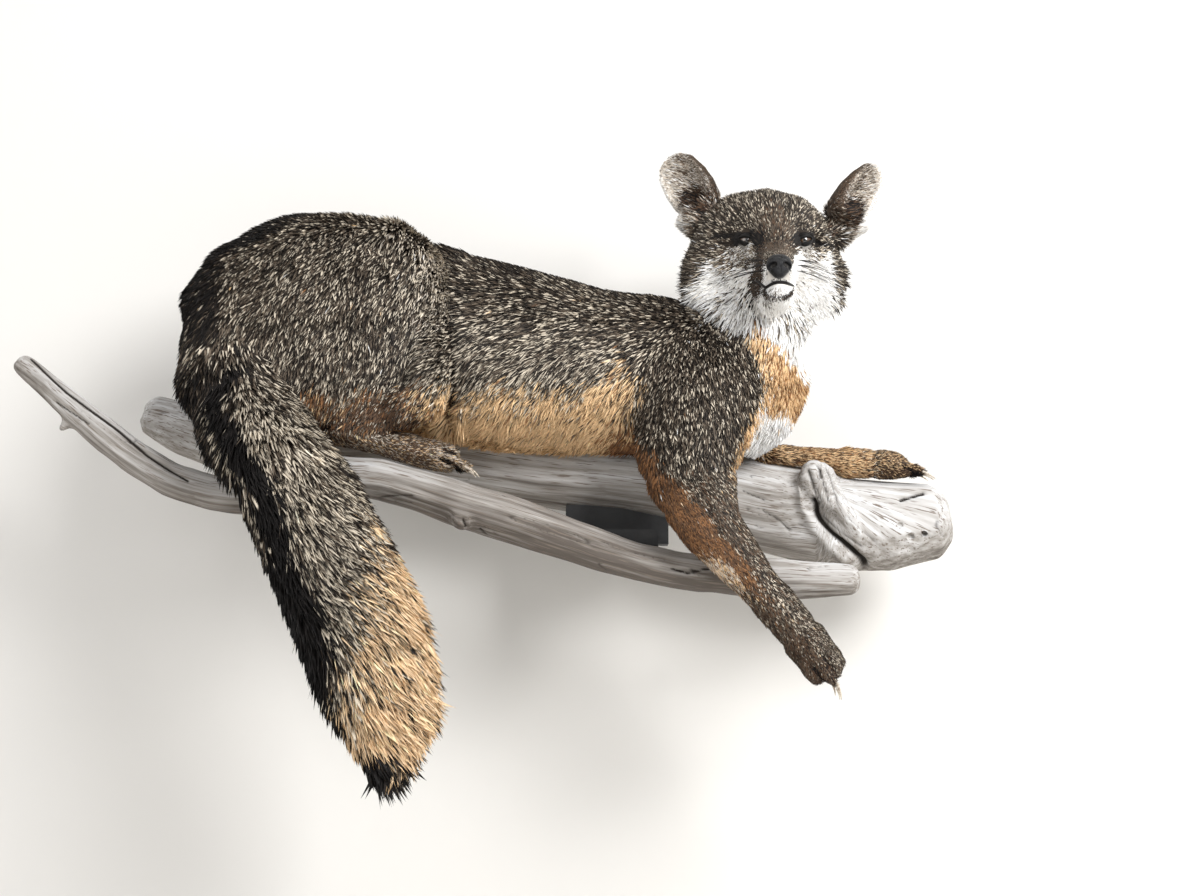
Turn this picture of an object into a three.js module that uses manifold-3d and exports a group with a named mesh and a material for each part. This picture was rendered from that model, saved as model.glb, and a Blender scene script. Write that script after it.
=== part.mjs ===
// Gray fox taxidermy on a driftwood wall mount, life size.
// Millimetres, +Z up, +X to the viewer's right, +Y into the wall. The wall is the plane y = 0 and the
// origin is the middle of the back face of the hanging plate.
// Every piece of the animal is a loft: oval sections carried along a smooth spine. The outlines reach
// to the tips of the coat.
import * as THREE from "three";
import { mergeVertices } from "three/addons/utils/BufferGeometryUtils.js";
import Module from "manifold-3d";

const wasm = await Module();
wasm.setup();

// ---------------------------------------------------------------- driving sizes
const GAP = 0.6; // clearance between pieces that touch
const FACET = 0.29; // how far the final facets may stray, well inside the clearance
const PLATE = { width: 150, depth: 16, height: 36 }; // hanging plate, centred on the origin
const BRACKET = [ // stepped strap that joins the two pieces of wood
  { from: [68, -60, -60], to: [152, -40, -28] },
  { from: [78, -104, -76], to: [142, -56, -52] },
];
const EYE = { radius: 8.6, depth: -151.5, height: 169.5, middle: 232.8, halfSpacing: 21.8 };
const NOSE = { centre: [230.2, -204.5, 136.2], half: [9.6, 6.6, 9.8] };
// Ear profile: [share of the length, share of the width, share of the cup's depth], root to tip.
const EAR = { length: 66, width: 42, cup: 11, wall: 3, floor: 8, lip: 0.5 };
const EAR_PROFILE = [[0, 0.5, 0.9], [0.2, 0.82, 1.1], [0.45, 1, 1], [0.72, 0.92, 0.75], [1, 0.66, 0.4]];
// A claw starts inside its toe, drops below it and thins to a share of its radius at the tip.
const CLAW = { length: 11, radius: 1.7, inset: 3, start: 1.5, hook: 4.5, tip: 0.28, flat: 0.8 };
// A toe droops at its end; the two middle toes of a foot reach further than the outer ones.
const TOE = { radius: 6.4, length: 15, narrow: 0.62, taper: 0.12, droop: 2.5, middleReach: 4 };
const TOES_PER_FOOT = 4;

const X_AXIS = new THREE.Vector3(1, 0, 0);
const Y_AXIS = new THREE.Vector3(0, 1, 0);

// ---------------------------------------------------------------- solids from geometry
function solidOf(geometry) {
  const bare = geometry.clone();
  bare.deleteAttribute("normal");
  bare.deleteAttribute("uv");
  const welded = mergeVertices(bare, 1e-4);
  return new wasm.Manifold(new wasm.Mesh({
    numProp: 3,
    vertProperties: new Float32Array(welded.attributes.position.array),
    triVerts: new Uint32Array(welded.index.array),
  }));
}

function geometryOf(solid) {
  const { vertProperties, triVerts } = solid.getMesh();
  const geometry = new THREE.BufferGeometry();
  geometry.setAttribute("position", new THREE.BufferAttribute(new Float32Array(vertProperties), 3));
  geometry.setIndex(new THREE.BufferAttribute(new Uint32Array(triVerts), 1));
  geometry.computeVertexNormals();
  return geometry;
}

function largestPiece(solid) {
  const pieces = solid.decompose();
  return pieces.reduce((best, piece) => (piece.volume() > best.volume() ? piece : best));
}

function smoothSteps(count) {
  return Array.from({ length: count }, (_, i) => (i + 1) / (count + 1));
}

// A closed tube of oval sections. Each station is [x, y, z, half across, half up, pear]: "across" is
// the direction given, "up" is square to it and to the spine, and pear > 0 makes the lower half wider.
// capStart and capEnd are the lengths of the rounded ends; grow fattens the whole piece evenly.
function loft(stations, options = {}) {
  const {
    sides = 16, rings = 10, capStart = 6, capEnd = 6, across = Y_AXIS, from = 0, to = 1,
    grow = 0, power = 2, capRings = 3, surface = () => 1,
  } = options;
  const spine = new THREE.CatmullRomCurve3(stations.map(([x, y, z]) => new THREE.Vector3(x, y, z)));
  const sizes = new THREE.CatmullRomCurve3(
    stations.map(([, , , a, b, pear = 0]) => new THREE.Vector3(a, b, pear)), false, "catmullrom", 0.5);
  const speedAt = (t) => spine.getPoint(Math.min(1, t + 1e-3)).distanceTo(
    spine.getPoint(Math.max(0, t - 1e-3))) / (Math.min(1, t + 1e-3) - Math.max(0, t - 1e-3));
  const startSpan = Math.min(0.45 * (to - from), capStart / speedAt(from));
  const endSpan = Math.min(0.45 * (to - from), capEnd / speedAt(to));
  const capAngles = Array.from({ length: capRings }, (_, i) => (i / capRings) * Math.PI / 2);

  const rows = [];
  for (const angle of capAngles) {
    rows.push({ t: from + startSpan * (1 - Math.cos(angle)), scale: Math.sin(angle), push: -Math.cos(angle) });
  }
  rows.push({ t: from + startSpan, scale: 1, push: 0 });
  for (const step of smoothSteps(rings)) {
    rows.push({ t: from + startSpan + (to - from - startSpan - endSpan) * step, scale: 1, push: 0 });
  }
  rows.push({ t: to - endSpan, scale: 1, push: 0 });
  for (const angle of [...capAngles].reverse()) {
    rows.push({ t: to - endSpan * (1 - Math.cos(angle)), scale: Math.sin(angle), push: Math.cos(angle) });
  }

  const positions = [];
  const index = [];
  const starts = [];
  for (const { t, scale, push } of rows) {
    const along = spine.getTangent(t);
    const wide = across.clone().addScaledVector(along, -across.dot(along)).normalize();
    const high = new THREE.Vector3().crossVectors(along, wide);
    const centre = spine.getPoint(t).addScaledVector(along, push * grow);
    const size = sizes.getPoint(t);
    starts.push(positions.length / 3);
    const count = scale < 1e-6 ? 1 : sides;
    for (let side = 0; side < count; side += 1) {
      const angle = (2 * Math.PI * side) / sides;
      const [c, s] = [Math.cos(angle), Math.sin(angle)];
      const squarish = (v) => Math.sign(v) * Math.abs(v) ** (2 / power);
      const ripple = surface(angle, t);
      const a = (size.x * ripple + grow) * scale * squarish(c) * (1 - size.z * s);
      const b = (size.y * ripple + grow) * scale * squarish(s);
      const point = centre.clone();
      if (count > 1) {
        point.addScaledVector(wide, a).addScaledVector(high, b);
      }
      positions.push(point.x, point.y, point.z);
    }
  }
  for (let row = 0; row + 1 < rows.length; row += 1) {
    for (let side = 0; side < sides; side += 1) {
      const next = (side + 1) % sides;
      const lower = starts[row];
      const upper = starts[row + 1];
      if (rows[row].scale > 1e-6) {
        const tip = rows[row + 1].scale > 1e-6 ? upper + side : upper;
        index.push(lower + side, lower + next, tip);
      }
      if (rows[row + 1].scale > 1e-6) {
        const root = rows[row].scale > 1e-6 ? lower + next : lower;
        index.push(root, upper + next, upper + side);
      }
    }
  }
  const geometry = new THREE.BufferGeometry();
  geometry.setAttribute("position", new THREE.Float32BufferAttribute(positions, 3));
  geometry.setIndex(index);
  return solidOf(geometry);
}

function ball([x, y, z], [a, b, c], grow = 0) {
  const geometry = new THREE.SphereGeometry(1, 10, 7);
  geometry.scale(a + grow, b + grow, c + grow);
  geometry.translate(x, y, z);
  return solidOf(geometry);
}

function block([x0, y0, z0], [x1, y1, z1], grow = 0) {
  const geometry = new THREE.BoxGeometry(x1 - x0 + 2 * grow, y1 - y0 + 2 * grow, z1 - z0 + 2 * grow);
  geometry.translate((x0 + x1) / 2, (y0 + y1) / 2, (z0 + z1) / 2);
  return solidOf(geometry);
}

// ---------------------------------------------------------------- driftwood
const wornGrain = (angle, t) => 1 + 0.035 * Math.sin(3 * angle + 9 * t) + 0.025 * Math.sin(5 * angle - 17 * t);

const LOG_LINE = [
  [-286, -43, 53, 15, 16], [-250, -43, 38, 20, 22], [-219, -43, 27, 24, 25], [-160, -43, 18, 26, 26],
  [-100, -43, 17, 27, 26], [-40, -43, 15, 28, 27], [13, -43, 6, 30, 29], [60, -43, -1, 31, 30.5],
  [105, -43, -3, 32, 32], [150, -43, -8, 33, 34], [211, -43, -22.5, 34, 37.5], [261, -43, -34, 36, 40],
  [303, -43, -44, 38, 40], [340, -43, -43, 38, 37], [388, -43, -38, 33, 30],
];
const LOG_KNOT = [[261, -74, 4, 11, 10], [276, -79, -12, 12, 11], [291, -79, -34, 9, 9], [308, -75, -56, 6, 6]];

function driftwoodLog(grow) {
  const trunkOfLog = loft(LOG_LINE, { sides: 11, rings: 14, capRings: 2, capStart: 7, capEnd: 16, power: 2.2,
    surface: wornGrain, grow });
  return trunkOfLog.add(loft(LOG_KNOT, { sides: 8, rings: 3, capRings: 2, capStart: 7, capEnd: 5, grow }));
}

const BRANCH_LINE = [
  [-375, -95, 87, 9, 9], [-334, -100, 53, 12.5, 12.5], [-300, -104, 24, 14, 14], [-260, -110, -5, 15, 15],
  [-219, -115, -22.5, 16, 15.5], [-186, -117, -27.5, 16, 15.5], [-149, -119, -23, 17, 16],
  [-101, -120, -10, 18, 18], [-62, -120, -18, 18.5, 17.5], [-22, -119, -30, 19, 18.5], [17, -117, -42, 19, 19],
  [64.5, -115, -57.5, 18, 17.5], [105, -113, -72, 17, 16.5], [143, -112, -82, 16, 15.5],
  [174, -111, -87, 16, 15.5], [237, -110, -92, 17.5, 17.5], [302, -110, -93, 15, 13],
];
const BRANCH_TWIG = [[-322, -102, 44, 6, 7], [-330, -103, 33, 5, 6], [-338, -104, 25, 4, 4]];
const BRANCH_KNOT = [[-20, -124, -34, 10, 10], [-12, -128, -46, 9, 10], [-7, -130, -55, 6, 6]];

function driftwoodBranch(grow) {
  return loft(BRANCH_LINE, { sides: 9, rings: 18, capRings: 2, capStart: 6, capEnd: 8,
    surface: wornGrain, grow })
    .add(loft(BRANCH_TWIG, { sides: 6, rings: 1, capRings: 1, capStart: 4, capEnd: 3, grow }))
    .add(loft(BRANCH_KNOT, { sides: 7, rings: 1, capRings: 2, capStart: 5, capEnd: 5, grow }));
}

function wallPlate(grow) {
  const { width, depth, height } = PLATE;
  return block([-width / 2, -depth, -height / 2], [width / 2, 0, height / 2], grow);
}

function bracket(grow) {
  return BRACKET.map(({ from, to }) => block(from, to, grow)).reduce((whole, part) => whole.add(part));
}

// ---------------------------------------------------------------- body
const TRUNK_LINE = [
  [-237, -92, 107, 53, 54], [-208, -90, 114, 60, 71], [-160, -88, 121, 66, 86], [-110, -87, 121, 68, 88],
  [-60, -86, 110, 67, 77], [-15, -85, 98, 66, 76], [40, -85, 87.5, 66, 72.5], [100, -85, 79, 66, 65],
  [160, -85, 76, 64, 63], [215, -86, 66, 58, 56], [262, -90, 50, 46, 44],
];
const NECK_LINE = [
  [204, -88, 42, 48, 46], [209, -90, 76, 44, 50], [213, -95, 98, 45, 51], [219, -99, 118, 48, 51],
  [227, -100, 162, 50, 46],
];
const HEAD_LINE = [
  [223, -46, 160, 34, 32, 0], [225, -66, 164, 52, 48, 0.05], [227, -88, 165, 61, 53, 0.1],
  [228, -108, 165, 63, 55, 0.12], [230, -126, 164, 57, 55, 0.12], [231, -142, 161, 40, 43, 0.06],
  [232, -156, 157, 23.5, 27, 0], [232, -170, 150, 17, 19, 0],
];
const MUZZLE_LINE = [
  [232, -146, 154, 26, 23], [231.5, -162, 149, 21.5, 19.5], [231, -176, 143.5, 18, 16],
  [230.5, -190, 139, 16, 13.5], [230, -204, 135.5, 13, 10.5],
];
const JAW_LINE = [
  [231, -148, 132, 21, 14], [230.5, -168, 127, 17, 11], [230, -184, 123.5, 13.5, 8.5],
  [229.5, -196, 122, 10.5, 6],
];

const trunk = (grow) => loft(TRUNK_LINE, { sides: 16, rings: 6, capRings: 2, capStart: 34, capEnd: 30, grow });
const neck = (grow) => loft(NECK_LINE, { sides: 10, rings: 3, capRings: 2, capStart: 12, capEnd: 12,
  across: X_AXIS, grow });
const head = (grow) => loft(HEAD_LINE, { sides: 12, rings: 5, capRings: 2, capStart: 16, capEnd: 5,
  across: X_AXIS, power: 2.4, grow });
const muzzle = (grow) => loft(MUZZLE_LINE, { sides: 9, rings: 2, capRings: 2, capStart: 6, capEnd: 8,
  across: X_AXIS, grow });
const lowerJaw = (grow) => loft(JAW_LINE, { sides: 10, rings: 2, capRings: 2, capStart: 6, capEnd: 7,
  across: X_AXIS, grow });
const nosePad = (grow) => ball(NOSE.centre, NOSE.half, grow);

function eye(side) {
  const centre = [EYE.middle + side * EYE.halfSpacing, EYE.depth, EYE.height];
  return (grow) => ball(centre, [EYE.radius, EYE.radius, EYE.radius], grow);
}

// An upright oval cup. Local +Z runs from root to tip and the opening faces local -Y; "outward" turns
// the opening about the root-to-tip line, away from straight ahead.
function ear(root, tip, outward) {
  const { length, width, cup, wall, floor, lip } = EAR;
  const shell = EAR_PROFILE.map(([s, w, d]) => [0, 0, s * length, (w * width) / 2, d * cup]);
  const hollow = EAR_PROFILE.map(([s, w, d]) => [0, -wall - lip, floor + s * (length - floor),
    (w * width) / 2 - wall, d * cup - lip]);
  const direction = new THREE.Vector3(...tip).sub(new THREE.Vector3(...root)).normalize();
  const facing = new THREE.Vector3(Math.sin(outward), -Math.cos(outward), 0);
  facing.addScaledVector(direction, -facing.dot(direction)).normalize();
  const wide = new THREE.Vector3().crossVectors(direction, facing);
  const place = new THREE.Matrix4().makeBasis(wide, facing.clone().negate(), direction).setPosition(...root);
  return (grow) => {
    const outside = loft(shell, { sides: 10, rings: 3, capRings: 2, capStart: 4, capEnd: 12,
      across: X_AXIS, grow });
    const inside = loft(hollow, { sides: 8, rings: 3, capRings: 2, capStart: 8, capEnd: 10,
      across: X_AXIS, grow: -grow });
    return outside.subtract(inside).transform(place.toArray());
  };
}

// ---------------------------------------------------------------- legs
const LEG = { sides: 9, rings: 2, capRings: 2, capStart: 12, capEnd: 8 };
const legPiece = (line, options = {}) => (grow) => loft(line, { ...LEG, ...options, grow });

const NEAR_ARM = [[188, -112, 100, 34, 50], [180, -126, 66, 35, 50], [170, -137, 30, 32, 47],
  [164, -144, 2, 27, 43], [166, -147, -24, 21, 36]];
const NEAR_FOREARM = [[163, -147, -6, 22, 40], [171, -149, -36, 19, 31], [193, -150, -72, 16.5, 22],
  [226, -150, -109, 14, 16], [248, -149, -134, 13, 13.5]];
const NEAR_FOREPAW = [[242, -149, -128, 13.5, 14], [255, -149, -145, 16, 16.5], [266, -149, -160, 17, 17],
  [273, -149, -170, 14, 13]];
const FAR_ARM = [[200, -40, 70, 18, 30], [212, -40, 44, 18, 28], [226, -44, 20, 17, 18]];
const FAR_FOREARM = [[222, -50, 15, 15, 16], [250, -54, 12, 12.5, 11], [285, -57, 9.5, 11.5, 10.5],
  [320, -58, 6.5, 11, 10.5]];
const FAR_FOREPAW = [[314, -58, 7, 12, 10.5], [335, -58, 5, 14, 10.5], [354, -58, 1.5, 13, 8]];
const NEAR_THIGH = [[-214, -104, 98, 26, 46], [-180, -114, 106, 40, 69], [-145, -118, 112, 46, 85],
  [-112, -119, 113.5, 48, 89], [-80, -118, 111.5, 48, 87], [-53, -115, 105, 45, 78], [-24, -111, 96, 37, 56]];
const NEAR_SHANK = [[-50, -130, 52, 15, 22], [-82, -131, 38, 15, 18], [-116, -128, 27, 12, 13]];
const NEAR_HINDFOOT = [[-122, -125, 24, 11, 9], [-76, -124, 15.5, 12.5, 11], [-40, -123, 6, 15, 13.5],
  [-15, -122, 0, 15, 10]];
const FAR_THIGH = [[-205, -48, 92, 20, 44], [-165, -40, 94, 26, 62], [-120, -37, 96, 29, 72],
  [-75, -40, 94, 26, 62], [-36, -46, 88, 20, 40]];
const FAR_SHANK = [[-56, -42, 66, 12, 18], [-90, -38, 61, 11, 14], [-122, -36, 58, 10, 11]];
const FAR_HINDFOOT = [[-128, -36, 58, 10, 9], [-90, -36, 54, 11, 9], [-55, -36, 52, 13, 8.5],
  [-34, -36, 51, 13, 8]];

// Toes leave the foot's end side by side across Y. "heading" is the angle of the foot above +X.
function toeSpots([x, y, z], heading, spread) {
  const forward = new THREE.Vector3(Math.cos(heading), 0, Math.sin(heading));
  const under = new THREE.Vector3(Math.sin(heading), 0, -Math.cos(heading));
  return Array.from({ length: TOES_PER_FOOT }, (_, i) => {
    const place = (2 * i) / (TOES_PER_FOOT - 1) - 1;
    const reach = TOE.middleReach * (1 - place * place);
    const start = new THREE.Vector3(x, y + (place * spread) / 2, z).addScaledVector(forward, reach);
    return { start, forward, under };
  });
}

function toe({ start, forward, under }, grow) {
  const line = [0, 0.5, 1].map((s) => {
    const p = start.clone().addScaledVector(forward, s * TOE.length).addScaledVector(under, s * s * TOE.droop);
    return [p.x, p.y, p.z, TOE.radius * TOE.narrow, TOE.radius * (1 - TOE.taper * s)];
  });
  return loft(line, { sides: 5, rings: 0, capRings: 1, capStart: 4, capEnd: 6, grow });
}

function claw({ start, forward, under }) {
  const line = [0, 0.4, 0.75, 1].map((s) => {
    const p = start.clone().addScaledVector(forward, TOE.length - CLAW.inset + s * CLAW.length)
      .addScaledVector(under, CLAW.start + s * s * CLAW.hook);
    const thick = CLAW.radius * (1 - (1 - CLAW.tip) * s);
    return [p.x, p.y, p.z, thick * CLAW.flat, thick];
  });
  return (grow) => loft(line, { sides: 4, rings: 1, capRings: 1, capStart: 1, capEnd: 0.6, grow });
}

function foot(line, spots, options = {}) {
  return (grow) => spots.reduce((solid, spot) => solid.add(toe(spot, grow)), legPiece(line, options)(grow));
}

const TOES = {
  forepaw_right: toeSpots([267, -149, -161], -0.95, 26),
  forepaw_left: toeSpots([347, -58, 2.5], -0.16, 22),
  hindfoot_right: toeSpots([-22, -122, 0.5], -0.3, 24),
  hindfoot_left: toeSpots([-42, -36, 52], -0.06, 20),
};

// ---------------------------------------------------------------- tail
const TAIL_LINE = [
  [-199, -104, 100, 30, 30], [-195, -128, 70, 34, 37], [-181, -148, 40, 35, 41], [-154, -166, 3, 36, 43.5],
  [-130.5, -171, -36, 37, 46], [-107, -172, -81, 37, 49], [-89.5, -172, -117, 37, 50.5],
  [-76.5, -171, -152, 36, 50], [-66.5, -170, -189, 32, 42], [-66, -169, -224, 22, 25], [-74, -168, -257, 8, 8],
];
const TAIL_CUTS = [0, 0.3, 0.64, 1];

function tailLength(number) {
  const first = number === 0;
  const last = number === TAIL_CUTS.length - 2;
  return (grow) => loft(TAIL_LINE, {
    sides: 12, rings: 3, capRings: 2, from: TAIL_CUTS[number], to: TAIL_CUTS[number + 1],
    capStart: first ? 16 : 0.4, capEnd: last ? 10 : 0.4, grow,
  });
}

// ---------------------------------------------------------------- assembly
const COLOUR = {
  grizzled: [0x77726a, 0.95, 0], rust: [0xa9713f, 0.95, 0], face: [0x8b867e, 0.95, 0],
  pale: [0xe6dfd3, 0.95, 0], brown: [0x6d5140, 0.95, 0], tail: [0x86796a, 0.95, 0],
  nose: [0x17181a, 0.45, 0], eye: [0x1d1410, 0.08, 0], claw: [0xcdbfa8, 0.5, 0],
  driftwood: [0xa9a6a2, 0.9, 0], steel: [0x1d1e20, 0.5, 0.6],
};

const feet = Object.entries(TOES);
const claws = feet.flatMap(([name, spots]) => spots.map((spot, i) => (
  { name: `${name}_claw_${i + 1}`, make: claw(spot), colour: COLOUR.claw })));

// Earlier pieces stay whole and later ones are cut back from them.
const PIECES = [
  { name: "wall_plate", make: wallPlate, colour: COLOUR.steel },
  { name: "driftwood_log", make: driftwoodLog, colour: COLOUR.driftwood },
  { name: "driftwood_branch", make: driftwoodBranch, colour: COLOUR.driftwood },
  { name: "joining_bracket", make: bracket, colour: COLOUR.steel },
  { name: "eye_right", make: eye(-1), colour: COLOUR.eye },
  { name: "eye_left", make: eye(1), colour: COLOUR.eye },
  { name: "nose_pad", make: nosePad, colour: COLOUR.nose },
  ...claws,
  { name: "forepaw_right", make: foot(NEAR_FOREPAW, TOES.forepaw_right), colour: COLOUR.brown },
  { name: "forepaw_left", make: foot(FAR_FOREPAW, TOES.forepaw_left), colour: COLOUR.brown },
  { name: "hindfoot_right", make: foot(NEAR_HINDFOOT, TOES.hindfoot_right, { capStart: 7 }),
    colour: COLOUR.brown },
  { name: "hindfoot_left", make: foot(FAR_HINDFOOT, TOES.hindfoot_left, { capStart: 7 }),
    colour: COLOUR.brown },
  { name: "foreleg_right_lower", make: legPiece(NEAR_FOREARM), colour: COLOUR.rust },
  { name: "foreleg_left_lower", make: legPiece(FAR_FOREARM), colour: COLOUR.rust },
  { name: "hindleg_right_shank", make: legPiece(NEAR_SHANK), colour: COLOUR.brown },
  { name: "hindleg_left_shank", make: legPiece(FAR_SHANK), colour: COLOUR.brown },
  { name: "foreleg_right_upper", make: legPiece(NEAR_ARM, { sides: 12, rings: 3, capStart: 30, capEnd: 14 }),
    colour: COLOUR.grizzled },
  { name: "foreleg_left_upper", make: legPiece(FAR_ARM), colour: COLOUR.rust },
  { name: "tail_root", make: tailLength(0), colour: COLOUR.tail },
  { name: "tail_middle", make: tailLength(1), colour: COLOUR.tail },
  { name: "tail_end", make: tailLength(2), colour: COLOUR.tail },
  { name: "hindleg_right_thigh", make: legPiece(NEAR_THIGH, { sides: 12, rings: 5, capStart: 24,
    capEnd: 30, capRings: 3 }), colour: COLOUR.grizzled },
  { name: "hindleg_left_thigh", make: legPiece(FAR_THIGH, { sides: 7, capStart: 24, capEnd: 24 }),
    colour: COLOUR.grizzled },
  { name: "muzzle", make: muzzle, colour: COLOUR.face },
  { name: "lower_jaw", make: lowerJaw, colour: COLOUR.pale },
  { name: "head", make: head, colour: COLOUR.face },
  { name: "ear_right", make: ear([187, -116, 196], [150.5, -110, 252], -0.52), colour: COLOUR.brown },
  { name: "ear_left", make: ear([283.5, -116, 195], [326, -100, 242.5], 1.02), colour: COLOUR.brown },
  { name: "neck", make: neck, colour: COLOUR.pale },
  { name: "trunk", make: trunk, colour: COLOUR.grizzled },
];

function boxesMeet(a, b) {
  return [0, 1, 2].every((axis) => a.min[axis] < b.max[axis] && b.min[axis] < a.max[axis]);
}

const mount = new THREE.Group();
const cutters = [];
for (const { name, make, colour } of PIECES) {
  let solid = make(0);
  const grown = make(GAP);
  const box = solid.boundingBox();
  for (const cutter of cutters) {
    if (boxesMeet(box, cutter.boundingBox())) {
      solid = solid.subtract(cutter);
    }
  }
  cutters.push(grown);
  const [color, roughness, metalness] = colour;
  const mesh = new THREE.Mesh(
    geometryOf(largestPiece(solid.simplify(FACET))),
    new THREE.MeshStandardMaterial({ color, roughness, metalness }));
  mesh.name = name;
  mount.add(mesh);
}

export default mount;
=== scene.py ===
# %% [markdown]
# # A gray fox on a driftwood mount
# A museum fox lies over two pieces of driftwood that hang on a wall. The frame holds its solids at
# their real size. This lesson gives them their looks: one skin under all of the flesh, a coat of
# solid tufts that grow from it, a finished head, and weathered wood. Lengths are in millimetres
# until a mesh is made.

# %% Load the frame
import itertools
import math
import bpy
import numpy as np
import openvdb as vdb
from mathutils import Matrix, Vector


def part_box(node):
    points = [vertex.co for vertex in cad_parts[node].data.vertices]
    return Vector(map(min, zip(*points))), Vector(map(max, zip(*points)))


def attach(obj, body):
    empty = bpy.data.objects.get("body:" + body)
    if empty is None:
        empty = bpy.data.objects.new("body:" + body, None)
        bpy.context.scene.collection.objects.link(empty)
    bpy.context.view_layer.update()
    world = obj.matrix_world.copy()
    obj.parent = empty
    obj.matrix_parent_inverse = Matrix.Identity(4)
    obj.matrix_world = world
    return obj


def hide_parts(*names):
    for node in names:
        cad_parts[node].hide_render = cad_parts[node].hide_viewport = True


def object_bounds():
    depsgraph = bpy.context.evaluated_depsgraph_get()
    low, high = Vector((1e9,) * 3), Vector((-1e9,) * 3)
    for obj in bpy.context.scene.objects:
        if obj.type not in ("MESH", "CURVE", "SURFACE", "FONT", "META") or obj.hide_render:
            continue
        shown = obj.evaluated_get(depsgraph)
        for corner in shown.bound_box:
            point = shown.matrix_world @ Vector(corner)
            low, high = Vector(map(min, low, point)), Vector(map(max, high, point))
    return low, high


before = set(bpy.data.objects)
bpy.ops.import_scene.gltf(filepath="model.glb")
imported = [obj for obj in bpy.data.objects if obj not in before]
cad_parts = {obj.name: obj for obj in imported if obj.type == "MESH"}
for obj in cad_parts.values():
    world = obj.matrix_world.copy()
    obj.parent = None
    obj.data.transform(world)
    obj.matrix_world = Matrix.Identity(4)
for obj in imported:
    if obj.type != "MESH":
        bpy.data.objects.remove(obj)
cad_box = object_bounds()
MM = 0.001
print("nodes in the frame:", len(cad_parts))


def corners(node):
    """Lowest and highest corner of a node, in millimetres."""
    low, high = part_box(node)
    return np.array(low) / MM, np.array(high) / MM


def middle(node):
    """Centre of a node's box, in millimetres."""
    low, high = corners(node)
    return (low + high) / 2


# %% [markdown]
# ## Camera, backdrop and light
# The camera looks slightly up at the mount from in front of its middle. A pale wall stands behind it
# and a pale floor lies well below. The wall is a single sheet that shows only its front, so the
# model can be seen from behind too. Three broad lamps and a grey sky give a level at which a colour
# shows about as it is written.

# %% Camera and stage
scene = bpy.context.scene
scene.view_settings.view_transform = "Standard"
plate_high = corners("wall_plate")[1]
AIM = np.array([96.0, -100.0, 13.6])
CAMERA_DISTANCE = 1350.0
CAMERA_TILT = math.radians(8)
LENS = 50.625
SENSOR = 36.0
FLOOR_BELOW = 190.0
WALL_BEHIND = 60.0


def look_from(aim, distance, tilt):
    """Adds a camera that looks along +Y, turned up by the tilt, at a point that distance away."""
    data = bpy.data.cameras.new("camera")
    data.lens = LENS
    data.sensor_width = SENSOR
    camera = bpy.data.objects.new("camera", data)
    scene.collection.objects.link(camera)
    sight = np.array([0.0, math.cos(tilt), math.sin(tilt)])
    camera.location = (aim - distance * sight) * MM
    camera.rotation_euler = (math.pi / 2 + tilt, 0.0, 0.0)
    return camera


scene.camera = look_from(AIM, CAMERA_DISTANCE, CAMERA_TILT)
print("camera at", [round(v, 3) for v in scene.camera.location])


def put_mesh(name, points, faces, smooth=True):
    """Makes an object from points in millimetres and an array of faces with equal corner counts."""
    mesh = bpy.data.meshes.new(name)
    faces = np.ascontiguousarray(faces, np.int32)
    mesh.vertices.add(len(points))
    mesh.loops.add(faces.size)
    mesh.polygons.add(len(faces))
    mesh.vertices.foreach_set("co", (np.asarray(points, np.float32) * MM).ravel())
    mesh.loops.foreach_set("vertex_index", faces.ravel())
    mesh.polygons.foreach_set("loop_start", np.arange(len(faces), dtype=np.int32) * faces.shape[1])
    mesh.polygons.foreach_set("use_smooth", np.full(len(faces), smooth))
    mesh.update(calc_edges=True)
    piece = bpy.data.objects.new(name, mesh)
    scene.collection.objects.link(piece)
    return piece


def note(piece, name, values, kind="FLOAT"):
    """Stores one value or colour for each point of a mesh, for its material to read."""
    field = {"FLOAT": "value", "FLOAT_COLOR": "color", "FLOAT_VECTOR": "vector"}[kind]
    values = np.asarray(values, np.float32)
    if kind == "FLOAT_COLOR" and values.shape[1] == 3:
        values = np.concatenate([values, np.ones((len(values), 1), np.float32)], 1)
    attribute = piece.data.attributes.new(name, kind, "POINT")
    attribute.data.foreach_set(field, values.ravel())


# %% [markdown]
# ## Shader maths as expressions
# A small class wraps a socket, so that a material reads like the sum it stands for.

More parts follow.
